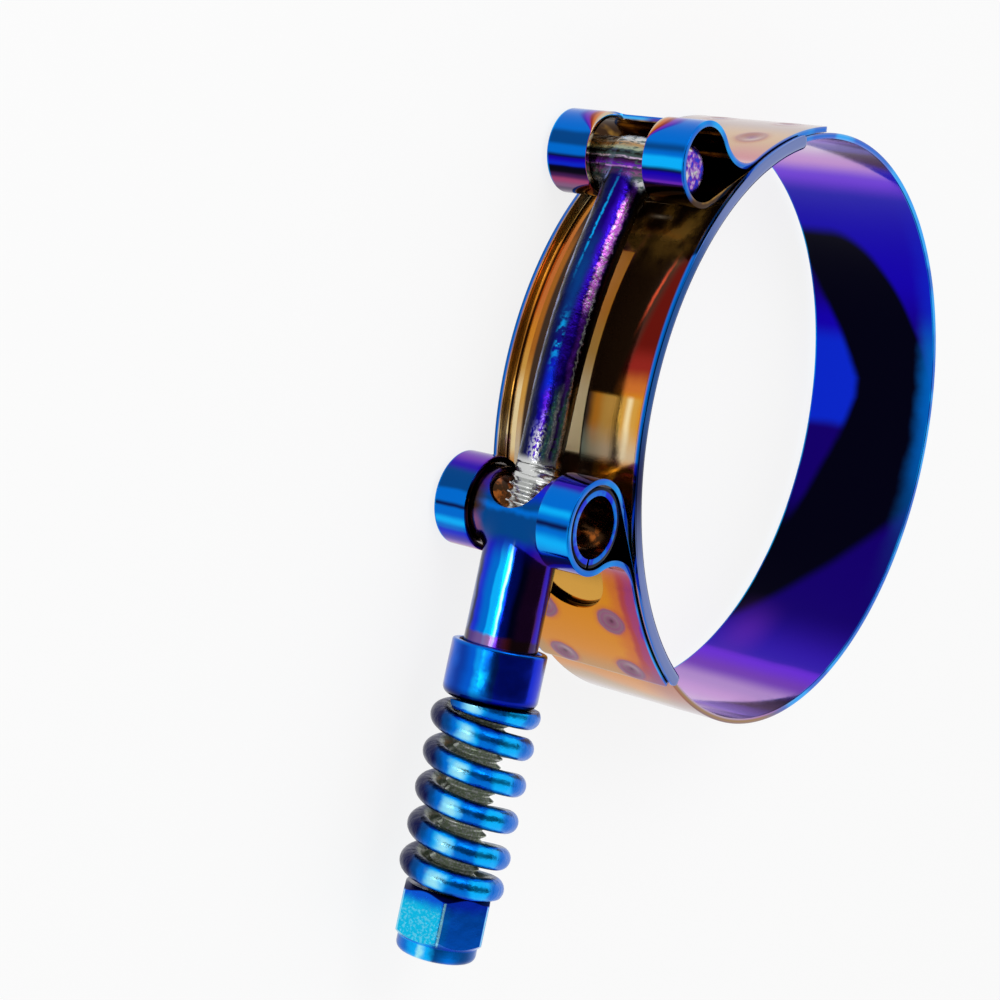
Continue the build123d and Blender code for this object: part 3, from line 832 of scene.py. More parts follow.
class CLAMP_OT_trunnion(bpy.types.Operator):
    """Builds the rolled sheet trunnion: a cross barrel and a tube in one skin, with notch and seams."""
    bl_idname = "clamp.trunnion"
    bl_label = "Trunnion"

    def execute(self, context):
        band = sizes("band")
        size = sizes("trunnion")
        x, y, _, _ = bolt_line()
        barrel = band.lower_loop - size.clearance
        half = band.width / 2 - size.recess
        tube = size.tube_diameter / 2
        end = y - size.tube_length

        # One even skin round barrel and tube, longer than the finished piece
        spare = 2 * MM
        bm = bmesh.new()
        bmesh.ops.create_cone(
            bm, cap_ends=True, segments=64, radius1=barrel, radius2=barrel, depth=2 * (half + spare),
            matrix=Matrix.Translation((x, y, 0)),
        )
        middle = Matrix.Translation((x, y - (size.tube_length + spare) / 2, 0))
        bmesh.ops.create_cone(
            bm, cap_ends=True, segments=64, radius1=tube, radius2=tube, depth=size.tube_length + spare,
            matrix=middle @ Matrix.Rotation(pi / 2, 4, "X"),
        )
        skin = join_solid(bm, 0.24 * MM)
        remove_faces(skin, lambda c: abs(c.z) > half + 0.5 * spare or c.y < end - 0.5 * spare)

        def distance(p):
            across = np.hypot(p[:, 0] - x, p[:, 1] - y) - barrel
            down = np.maximum(p[:, 1] - y, 0)
            along = np.sqrt((p[:, 0] - x)**2 + p[:, 2]**2 + down**2) - tube
            return round_union(across, along, size.fillet)

        settle(skin, distance)
        for _ in range(2):
            bmesh.ops.smooth_vert(
                skin, verts=[v for v in skin.verts if not v.is_boundary], factor=0.5,
                use_axis_x=True, use_axis_y=True, use_axis_z=True,
            )
            settle(skin, distance, rounds=2)

        # Square ends, the bolt's notch and the open seams
        square_ends = (((x, y, half), (0, 0, 1)), ((x, y, -half), (0, 0, -1)), ((x, end, 0), (0, -1, 0)))
        for point, normal in square_ends:
            bmesh.ops.bisect_plane(
                skin, geom=skin.verts[:] + skin.edges[:] + skin.faces[:], dist=1e-7,
                plane_co=point, plane_no=normal, clear_outer=True,
            )
        radius = size.entry_radius
        floor = y + size.entry_rise + radius
        notch = []
        for k in range(21):
            out = polar(1, 180 + 9 * k)
            notch.append(((x, floor + radius * out.y, radius * out.x), (0, out.y, out.x)))
        cut_away(skin, notch)
        slit = size.seam / 2
        for side in (1, -1):
            cut_away(skin, [
                ((x, y, side * (half - size.seam_length)), (0, 0, -side)),
                ((x + slit, y, 0), (1, 0, 0)), ((x - slit, y, 0), (-1, 0, 0)), ((x, y, 0), (0, 1, 0)),
            ])
        cut_away(skin, [
            ((x, y - barrel - 0.2 * MM, 0), (0, 1, 0)), ((x, y, slit), (0, 0, 1)),
            ((x, y, -slit), (0, 0, -1)), ((x + 2 * MM, y, 0), (-1, 0, 0)),
        ])
        bmesh.ops.remove_doubles(skin, verts=skin.verts[:], dist=0.03 * MM)

        # The seam's lips stand a little open at their upper end
        lip_run = 3.2 * MM
        lip_half = 2.2 * MM
        for v in skin.verts:
            low = (y - barrel - v.co.y) / lip_run
            if v.co.x > x + 2 * MM and -0.4 < low < 1:
                lift = max(0.0, 1 - abs(low - 0.2) / 0.8) * max(0.0, 1 - abs(v.co.z) / lip_half)
                v.co.x += size.seam_lift * lift
        bmesh.ops.recalc_face_normals(skin, faces=skin.faces[:])
        facing = 0.0
        for face in skin.faces:
            centre = face.calc_center_median()
            facing += face.normal.dot(Vector((centre.x - x, 0, centre.z)))
        if facing < 0:
            bmesh.ops.reverse_faces(skin, faces=skin.faces[:])
        piece = finish_mesh(skin, "trunnion_sheet")
        solid = piece.modifiers.new("Wall", "SOLIDIFY")
        solid.thickness = size.wall
        solid.offset = -1
        edges = piece.modifiers.new("Edges", "BEVEL")
        edges.width = size.edge
        edges.segments = 2
        edges.limit_method = "ANGLE"
        edges.angle_limit = radians(50)
        edges.profile = 0.5
        edges.miter_outer = "MITER_ARC"
        weigh_normals(piece)
        piece.data.materials.append(trunnion_steel(x, y, barrel, half, end))
        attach(piece, "slider")
        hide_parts("trunnion")
        return {"FINISHED"}


class CLAMP_OT_cup(bpy.types.Operator):
    """Builds the drawn cup between the tube and the spring."""
    bl_idname = "clamp.cup"
    bl_label = "Spring cup"

    def execute(self, context):
        size = sizes("spring")
        x, _, top, _ = bolt_line()
        inner = sizes("trunnion").tube_diameter / 2 + size.cup_clearance
        outer = inner + size.cup_wall
        hole = sizes("bolt").thread_diameter / 2 + size.cup_hole_gap
        corner = size.cup_clearance - size.cup_seat
        lip = 0.3 * MM
        points = (
            (hole, -size.cup_wall), (inner, -size.cup_wall), (inner, -size.cup_height),
            (outer, -size.cup_height), (outer, 0), (hole, 0),
        )
        outline = rounded(points, (0.15 * MM, corner, lip, lip, corner + size.cup_wall, 0.15 * MM), count=6)
        even = []
        for a, b in zip(outline, outline[1:] + outline[:1]):
            gap = (Vector(b) - Vector(a)).length
            parts = max(1, round(gap / (0.8 * MM)))
            even += [tuple(Vector(a).lerp(Vector(b), k / parts)) for k in range(parts)]
        bm = lathe(even, x, top, 96)
        piece = finish_mesh(bm, "spring_cup_drawn")
        weigh_normals(piece)
        piece.data.materials.append(cup_steel(x, top, outer))
        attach(piece, "slider")
        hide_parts("spring_cup")
        return {"FINISHED"}


class CLAMP_OT_spring(bpy.types.Operator):
    """Builds the coil spring with its closed, ground ends."""
    bl_idname = "clamp.spring"
    bl_label = "Spring"

    def execute(self, context):
        size = sizes("spring")
        x, _, top, bottom = bolt_line()
        coil = (size.diameter - size.wire) / 2
        rise = size.free_length + 2 * size.ground
        active = rise - 2 * size.closed_turns * size.closed_pitch
        turns = 2 * size.closed_turns + active / size.pitch
        around = 28
        count = round(turns * 48)

        def fall(turn):
            if turn < size.closed_turns:
                return turn * size.closed_pitch
            if turn > turns - size.closed_turns:
                return rise - (turns - turn) * size.closed_pitch
            return size.closed_turns * size.closed_pitch + (turn - size.closed_turns) * size.pitch

        def eased(turn):
            spread = (-0.12, -0.06, 0.0, 0.06, 0.12)
            return sum(fall(turn + d) for d in spread) / len(spread)

        bm = bmesh.new()
        place = Matrix.Translation((x, top + size.ground, coil)) @ Matrix.Rotation(pi / 2, 4, "Y")
        section = bmesh.ops.create_circle(bm, segments=around, radius=size.wire / 2, matrix=place)["verts"]
        edges = once(e for v in section for e in v.link_edges)
        whole = radians(size.start_angle)
        bmesh.ops.rotate(bm, verts=section, cent=(x, 0, 0), matrix=Matrix.Rotation(whole, 3, "Y"))
        bmesh.ops.edgeloop_fill(bm, edges=edges)
        last = bmesh.ops.spin(
            bm, geom=section + edges, cent=(x, 0, 0), axis=(0, 1, 0), dvec=(0, 0, 0),
            angle=2 * pi * turns, steps=count, use_merge=False,
        )["geom_last"]
        bmesh.ops.edgeloop_fill(bm, edges=[g for g in last if isinstance(g, bmesh.types.BMEdge)])
        for i, v in enumerate(bm.verts):
            v.co.y -= eased(turns * (i // around) / count)
        bmesh.ops.recalc_face_normals(bm, faces=bm.faces[:])
        for y, side in ((top, 1), (bottom, -1)):
            cut = bmesh.ops.bisect_plane(
                bm, geom=bm.verts[:] + bm.edges[:] + bm.faces[:], dist=1e-7,
                plane_co=(x, y, 0), plane_no=(0, side, 0), clear_outer=True,
            )["geom_cut"]
            rim = [g for g in cut if isinstance(g, bmesh.types.BMEdge) and g.is_boundary]
            bmesh.ops.holes_fill(bm, edges=rim, sides=0)
        bmesh.ops.triangulate(bm, faces=[f for f in bm.faces if len(f.verts) > 4])
        piece = finish_mesh(bm, "spring_coil", sharp=35)
        piece.data.materials.append(spring_steel(x))
        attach(piece, "slider")
        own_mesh(piece)
        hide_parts("spring")
        return {"FINISHED"}


class CLAMP_OT_nut(bpy.types.Operator):
    """Builds the lock nut: a chamfered hexagon with a round collar."""
    bl_idname = "clamp.nut"
    bl_label = "Lock nut"

    def execute(self, context):
        size = sizes("nut")
        x, _, _, top = bolt_line()
        flat = size.across_flats / 2
        bore = sizes("bolt").thread_diameter / 2 + size.bore_gap
        face = size.face_diameter / 2
        slope = tan(radians(size.chamfer_angle))
        collar = size.collar_diameter / 2
        pocket = size.ring_diameter / 2
        mouth = size.mouth / 2
        lip = size.collar_rounding
        marker = 1.2 * flat
        outline = [(bore + 0.3 * MM, 0), (face - 0.3 * MM, 0), (face, 0), (marker, 0.01 * MM)]
        outline += [(marker, size.hex_height * k / 8) for k in range(1, 8)]
        outline += [
            (marker, size.hex_height - 0.01 * MM), (face, size.hex_height),
            (collar + 0.12 * MM, size.hex_height), (collar, size.hex_height + 0.12 * MM),
            (collar, size.height - lip),
        ]
        outline += [
            (collar - lip + lip * sin(radians(a)), size.height - lip + lip * cos(radians(a)))
            for a in (75, 60, 45, 30, 15, 0)
        ]
        floor = size.height - size.ring_floor
        outline += [
            (mouth + 0.15 * MM, size.height), (mouth, size.height - 0.12 * MM), (mouth, floor),
            (pocket, floor), (pocket, size.ring_top), (bore, size.ring_top), (bore, 0.3 * MM),
        ]
        bm = lathe(outline, x, top, 144)

        # The points on the marker radius move in to the hexagon, and its corners are chamfered
        corner = radians(size.corner_angle)
        for v in bm.verts:
            away = Vector((v.co.x - x, v.co.z))
            radius = away.length
            if radius < marker - 1e-6:
                continue
            turn = (atan2(away.x, away.y) - corner) % (pi / 3) - pi / 6
            reach = min(flat / cos(turn), flat / cos(pi / 6) - 0.12 * MM)
            bevel = (reach - face) * slope
            share = (top - v.co.y) / size.hex_height
            v.co.y = top - (bevel + (size.hex_height - 2 * bevel) * min(max(share, 0.0), 1.0))
            v.co.x = x + away.x / radius * reach
            v.co.z = away.y / radius * reach
        bmesh.ops.recalc_face_normals(bm, faces=bm.faces[:])
        piece = finish_mesh(bm, "lock_nut_hex", sharp=24)
        piece.data.materials.append(nut_steel(x, top))
        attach(piece, "nut")
        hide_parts("lock_nut")
        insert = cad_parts["nut_insert"]
        insert.data.materials.clear()
        insert.data.materials.append(insert_plastic())
        return {"FINISHED"}


class Value:
    """An output socket that takes part in sums; each sum adds a math node."""

    def __init__(self, nodes, socket):
        self.nodes = nodes
        self.socket = socket

    def __add__(self, other):
        return self.nodes.math("ADD", self, other)

    def __sub__(self, other):
        return self.nodes.math("SUBTRACT", self, other)

    def __rsub__(self, other):
        return self.nodes.math("SUBTRACT", other, self)

    def __mul__(self, other):
        return self.nodes.math("MULTIPLY", self, other)

    def __truediv__(self, other):
        return self.nodes.math("DIVIDE", self, other)

    def __pow__(self, other):
        return self.nodes.math("POWER", self, other)

    def __abs__(self):
        return self.nodes.math("ABSOLUTE", self)


class Nodes:
    """Adds nodes to the emptied tree of a material or a world, and links them."""

    def __init__(self, owner):
        owner.use_nodes = True
        self.tree = owner.node_tree
        self.tree.nodes.clear()

    def put(self, socket, value):
        """Links a value to a socket, or sets the socket to a tint's name or a plain value."""
        if isinstance(value, Value):
            self.tree.links.new(value.socket, socket)
        elif isinstance(value, str):
            socket.default_value = (*getattr(sizes("tints"), value), 1)
        elif value is not None:
            socket.default_value = value

    def add(self, kind, *values, **settings):
        """Adds a node and fills its sockets in their order; None leaves a socket alone."""
        node = self.tree.nodes.new(kind)
        for name, value in settings.items():
            setattr(node, name, value)
        for socket, value in zip(node.inputs, values):
            self.put(socket, value)
        return node

    def fill(self, node, sockets):
        """Fills a node's sockets by their names."""
        for name, value in sockets.items():
            self.put(node.inputs[name], value)

    def value(self, kind, *values, output=0, **settings):
        """One output of a new node."""
        return Value(self, self.add(kind, *values, **settings).outputs[output])

    def parts(self, vector):
        """The three parts of a vector."""
        return [Value(self, socket) for socket in self.add("ShaderNodeSeparateXYZ", vector).outputs]

    def math(self, operation, a, b=None, clamp=False):
        return self.value("ShaderNodeMath", a, b, operation=operation, use_clamp=clamp)

    def larger(self, *values):
        """The largest of some values."""
        return reduce(lambda a, b: self.math("MAXIMUM", a, b), values)

    def smaller(self, *values):
        """The smallest of some values."""
        return reduce(lambda a, b: self.math("MINIMUM", a, b), values)

    def distance(self, a, b):
        """Length of two runs at right angles."""
        return self.math("SQRT", a**2 + b**2)

    def spread(self, value, low, high, first=0.0, last=1.0):
        """One number below low, another above high and smooth between."""
        ends = (low, high, first, last)
        return self.value("ShaderNodeMapRange", value, *ends, interpolation_type="SMOOTHSTEP")

    def seen(self, *rays):
        """1 for the camera's rays, mirrored ones and other named ones."""
        path = self.add("ShaderNodeLightPath")
        rays = ("Is Camera Ray", "Is Glossy Ray", *rays)
        return self.larger(*(Value(self, path.outputs[name]) for name in rays))


class Shade(Nodes):
    """Builds the nodes of one metal or plastic."""

    def __init__(self, name):
        self.material = bpy.data.materials.new(name)
        super().__init__(self.material)
        self.surface = self.add("ShaderNodeBsdfPrincipled")
        self.add("ShaderNodeOutputMaterial", Value(self, self.surface.outputs["BSDF"]))
        self.place = self.value("ShaderNodeTexCoord", output="Object")
        self.x, self.y, self.z = self.parts(self.place)

    def blank(self):
        """Place on the flat blank: shares along it, across it and from one skin to the other."""
        along, across, _ = self.parts(self.value("ShaderNodeUVMap", uv_map="Blank"))
        return along, across, self.value("ShaderNodeAttribute", output="Fac", attribute_name="skin")

    def hump(self, value, middle, reach):
        """1 at the middle, falling smoothly to 0 at this reach on both sides."""
        return self.spread(abs(value - middle), reach, 0.0)

    def mix(self, share, a, b):
        """The first colour turning to the second by a share."""
        node = self.add("ShaderNodeMix", share, data_type="RGBA")
        self.put(node.inputs[6], a)
        self.put(node.inputs[7], b)
        return Value(self, node.outputs[2])

    def ramp(self, value, *stops):
        """Colours along a value; each stop is (place, tint)."""
        node = self.add("ShaderNodeValToRGB", value)
        marks = node.color_ramp.elements
        while len(marks) < len(stops):
            marks.new(0.5)
        node.color_ramp.interpolation = "EASE"
        for mark, (place, tint) in zip(marks, stops):
            mark.position = place
            mark.color = (*getattr(sizes("tints"), tint), 1)
        return Value(self, node.outputs[0])

    def run_of(self, value, *stops):
        """Colours along a value in its own units; each stop is (value, tint)."""
        first = stops[0][0]
        whole = stops[-1][0] - first
        return self.ramp((value - first) / whole, *(((place - first) / whole, tint) for place, tint in stops))

    def noise(self, size, detail=2.0, stretch=None):
        """Noise with features of this size, from 0 to 1 about 0.5."""
        place = self.place
        if stretch:
            place = self.value("ShaderNodeMapping", place, None, None, stretch)
        node = self.add("ShaderNodeTexNoise")
        self.fill(node, {"Vector": place, "Scale": 1 / size, "Detail": detail})
        return Value(self, node.outputs[0])

    def wander(self, value, size, amount):
        """A value shifted by soft noise, so that a tint's edge isn't a straight line."""
        return value + (self.noise(size) - 0.5) * amount

    def polish(self, low, high, size):
        """Roughness that wanders between two values."""
        return self.value("ShaderNodeMapRange", self.noise(size, 3.0), 0.3, 0.7, low, high)

    def finish(self, tint, roughness, bumps, metal=1.0):
        """Sets the surface; bumps are (height, distance) pairs from coarse to fine."""
        normal = None
        for height, distance in bumps:
            bump = self.add("ShaderNodeBump")
            self.fill(bump, {"Distance": distance, "Height": height, "Normal": normal})
            normal = Value(self, bump.outputs[0])
        self.fill(self.surface, {
            "Base Color": tint, "Roughness": roughness, "Metallic": metal, "Normal": normal,
        })
        return self.material


def band_steel(span, marks, welds):
    """Mirror-bright strip: blue loops, gold legs and a ring from pink through violet to near black, the near
    black a painted dark reflection, with painted highlights and dark reflection bands on loops and rims.
    """
    lower_leg, ring_from, ring_to, head_loop = (mark / MM for mark in marks)
    band = sizes("band")
    lower = folds()[1]
    shade = Shade("tinted_strip")
    along_share, across_share, skin = shade.blank()
    along = along_share * (span / MM)
    across = (across_share - 0.5) * (band.width / MM)
    rim_gap = abs(across)
    outside = shade.spread(skin, 0.4, 0.6)

    # Lower leg, bend and loop, outside
    drift = shade.wander(along, 5 * MM, 2.0)
    leg = shade.run_of(
        shade.wander(across, 3 * MM, 1.8),
        (-9.5, "tan"), (-7, "amber"), (0, "amber"), (4.8, "amber"), (6.6, "orange"), (7.7, "rose"),
        (8.5, "magenta"), (9.0, "magenta"), (9.5, "violet"),
    )
    tail_end = shade.run_of(across, (-9.5, "tan"), (2, "tan"), (6, "mauve"), (9.5, "mauve"))
    leg = shade.mix(shade.spread(drift, 5.0, 0.0) * 0.75, leg, tail_end)
    # The loop's ramps mix heat tints with painted light: the cyan bands are painted highlights and the navy
    # lines painted dark reflections.
    loop = shade.run_of(
        shade.wander(along, 5 * MM, 0.7),
        (14, "orange"), (18, "rose"), (21, "magenta"), (23.5, "indigo"), (26.0, "indigo"), (27.6, "navy"),
        (30.5, "indigo"), (32.6, "azure"), (34.6, "cyan"), (35.9, "azure"), (36.5, "navy"), (37.1, "azure"),
        (37.9, "cyan"), (38.6, "azure"), (40.3, "azure"), (41.2, "indigo"), (42.4, "deep"), (45, "violet"),
        (50, "plum"), (54, "brown"),
    )
    far_loop = shade.run_of(
        shade.wander(along, 5 * MM, 0.7),
        (22, "plum"), (27.4, "plum"), (29.6, "magenta"), (30.8, "violet"), (31.5, "indigo"), (32.8, "blue"),
        (33.4, "azure"), (34.2, "cyan"), (35.0, "azure"), (35.7, "azure"), (36.1, "navy"), (36.6, "azure"),
        (37.6, "azure"), (38.1, "ocean"), (39.8, "ocean"), (41.0, "indigo"), (42.4, "violet"), (50, "plum"),
    )
    far = shade.spread(across, 0.0, -3.0)
    loop = shade.mix(far, loop, far_loop)
    leg = shade.mix(shade.spread(drift, 16.5, 21.0), leg, loop)

    # Head's loop, bend and leg, outside
    rest = shade.wander(along, 7 * MM, 0.5) - head_loop
    # On the head's loop the soot, ink and navy bands are painted dark reflections and the cyan band a painted
    # highlight.
    top = shade.run_of(
        rest,
        (0.0, "brown"), (4.9, "brown"), (5.5, "soot"), (6.6, "soot"), (6.95, "violet"), (7.3, "indigo"),
        (7.9, "deep"), (8.25, "navy"), (8.75, "cyan"), (9.5, "cyan"), (10.0, "azure"), (10.7, "ocean"),
        (11.5, "azure"), (19.0, "azure"), (21.0, "indigo"), (23.0, "violet"), (24.6, "blush"),
        (27, "peach"), (36, "peach"), (42, "dusty"),
    )
    far_top = shade.run_of(
        rest,
        (0.0, "brown"), (3.0, "plum"), (4.2, "plum"), (4.9, "mauve"), (5.8, "magenta"), (6.4, "plum"),
        (6.95, "ink"), (7.5, "ink"), (7.8, "blue"), (8.4, "deep"), (8.7, "navy"), (9.1, "azure"),
        (9.7, "azure"), (10.2, "ocean"), (11.2, "ocean"), (11.9, "azure"), (18, "azure"), (21, "indigo"),
        (23, "violet"), (25, "dusty"), (42, "dusty"),
    )
    top = shade.mix(far, top, far_top)
    beside = shade.larger(rim_gap - band.head_slot / MM / 2, 0.0)
    halo = beside / shade.larger(shade.spread(rest, 11.2, 14.6), 0.02)
    halo_tint = shade.run_of(
        halo,
        (0.0, "straw"), (0.7, "orange"), (1.3, "red"), (2.0, "violet"), (2.9, "indigo"), (4.0, "azure"),
    )
    beside_slot = shade.spread(halo, 3.8, 2.4) * shade.spread(rest, 17.5, 15.2)
    top = shade.mix(beside_slot, top, halo_tint)
    near_side = shade.hump(rest, 28.5, 7.0) * shade.spread(shade.wander(across, 4 * MM, 2.0), 2.5, 6.5)
    top = shade.mix(near_side, top, "pinkish")

    # Inside of the ring, by the angle round it: a row of tints with painted reflections of a dark room
    degree = (along - ring_from) * degrees(MM / lower.ring) + lower.leaves_ring
    turn = shade.wander(degree, 16 * MM, 3.0)
    inside = shade.run_of(
        turn,
        (222, "blush"), (262, "blush"), (284, "orchid"), (291, "lilac"), (297, "violet"), (303, "purple"),
        (305, "indigo"), (322, "midnight"), (385, "midnight"), (402, "deep"), (424, "deep"),
        (431, "purple"), (438, "orchid"), (447, "blush"), (456, "orchid"), (480, "mauve"),
    )
    # A painted dark reflection: a near black wedge across the ring's inside.
    from_left = turn - across * 1.9 - 334.0
    from_right = 412.0 - shade.larger(across + 5.0, 0.0)**2 * 0.17 - turn
    black = shade.spread(from_left, -4.0, 1.5) * shade.spread(from_right, -2.5, 1.5)
    inside = shade.mix(black, inside, "ink")
    # Below the wedge a painted pool of the same reflection, near black and blue.
    rise = (turn - 340.0) / 4.9 - 9.0
    drop = (400.0 - turn) / 3.5 - 9.0
    wedge = shade.wander(shade.smaller(rise, drop, -2.4) - across, 5 * MM, 0.9)
    dark_reflection_pool = shade.run_of(
        turn,
        (340, "ink"), (350, "midnight"), (364, "midnight"), (367, "blue"), (384, "blue"), (389, "deep"),
        (398, "midnight"),
    )
    inside = shade.mix(shade.spread(wedge, -0.7, 0.9), inside, dark_reflection_pool)
    bloom = shade.hump(turn, 311, 13) * shade.hump(across, -5.5, 5.0)
    inside = shade.mix(bloom * 0.38, inside, "violet")
    # Painted highlights in azure and blue along the near rim.
    near_rim_highlight = shade.spread(shade.wander(across, 3 * MM, 1.2), 6.4, 9.2) * shade.hump(turn, 380, 55)
    near_rim_highlight_tint = shade.run_of(
        turn, (340, "ocean"), (358, "azure"), (384, "azure"), (396, "blue"), (430, "blue"),
    )
    inside = shade.mix(near_rim_highlight * 0.8, inside, near_rim_highlight_tint)

    # Outside of the ring and inside of the loops
    back = shade.run_of(
        shade.wander(degree, 14 * MM, 10.0),
        (219, "gold"), (232, "gold"), (240, "amber"), (247, "amber"), (252, "tan"), (257, "dusty"),
        (282, "dusty"), (298, "orchid"), (318, "violet"), (350, "indigo"), (378, "blue"), (400, "azure"),
        (424, "violet"), (444, "magenta"), (458, "peach"), (476, "gold"), (484, "brown"),
    )
    rosy = shade.spread(shade.wander(across, 3 * MM, 1.5), 2.5, 8.0) * shade.hump(degree, 248, 34)
    back = shade.mix(rosy * 0.5, back, "mauve")
    dark = shade.mix(shade.spread(shade.noise(3.0 * MM, 2.0), 0.45, 0.62), "brown", "gold")
    dark = shade.mix(0.55, dark, "brown")
    on_ring = shade.spread(along, ring_from - 6, ring_from) * shade.spread(along, ring_to + 6, ring_to)
    front = shade.mix(shade.spread(along, head_loop - 8, head_loop - 2), leg, top)
    front = shade.mix(on_ring, front, inside)
    under = shade.mix(on_ring, dark, back)
    tint = shade.mix(outside, under, front)

    # Weld spots: a violet ring round a dark middle, and a warm halo
    rows = sorted({round(place / MM, 3) for place, _ in welds})
    near = shade.smaller(*(abs(along - row) for row in rows))
    reach = shade.wander(shade.distance(near, rim_gap - band.weld_offset / MM), 1.5 * MM, 0.4)
    warm = shade.spread(reach, 2.9, 1.7) * outside
    tint = shade.mix(warm * 0.4, tint, "rose")
    spot_tint = shade.run_of(
        reach,
        (0.0, "plum"), (0.5, "mauve"), (0.9, "weld"), (1.3, "mauve"), (1.6, "weld"), (1.85, "mauve"),
        (2.2, "mauve"),
    )
    spot = shade.spread(reach, 2.2, 1.75) * outside
    seen = 0.85 - shade.spread(rest, 0.0, 5.0) * 0.5
    tint = shade.mix(spot * seen, tint, spot_tint)

    # Cut edges: blue along the rims, straw round the head's slot and black round the lower one, the black
    # being painted shade
    cut = shade.hump(skin, 0.5, 0.46)
    slot_tint = shade.mix(shade.spread(along, lower_leg, lower_leg + 6), "soot", "straw")
    top_slot = shade.mix(shade.spread(across, -1.0, 1.0), "cyan", "indigo")
    slot_tint = shade.mix(shade.spread(rest, 15.5, 18.5), slot_tint, top_slot)
    warm_rim = on_ring * shade.spread(degree, 294, 278)
    under_head = shade.spread(rest, 6.5, 4.0) * shade.spread(rest, -14.0, -9.0)
    edge_tint = shade.mix(shade.spread(shade.noise(6 * MM), 0.42, 0.58), "blue", "azure")
    edge_tint = shade.mix(under_head, shade.mix(warm_rim, edge_tint, "tan"), "brown")
    cut_tint = shade.mix(shade.spread(rim_gap, 8.6, 9.2), slot_tint, edge_tint)
    tint = shade.mix(cut, tint, cut_tint)
    # A painted highlight along each rim: a thin azure to cyan line, brown on the warm part of the ring and
    # left out under the head's loop.
    line = shade.spread(rim_gap, 9.2, 9.45) * (0.8 - warm_rim * 0.5) * (1.0 - under_head)
    rim_highlight_tint = shade.mix(shade.spread(shade.noise(9 * MM), 0.45, 0.6), "azure", "cyan")
    tint = shade.mix(line, tint, shade.mix(warm_rim, rim_highlight_tint, "brown"))
    grain = shade.noise(0.35 * MM, 3.0, stretch=(0.5, 0.5, 1))
    return shade.finish(tint, shade.polish(0.05, 0.13, 3 * MM), [
        (shade.noise(11 * MM, 1.0), 0.00006), (shade.noise(2.2 * MM, 2.0), 0.000004), (grain, 0.0000010),
    ])


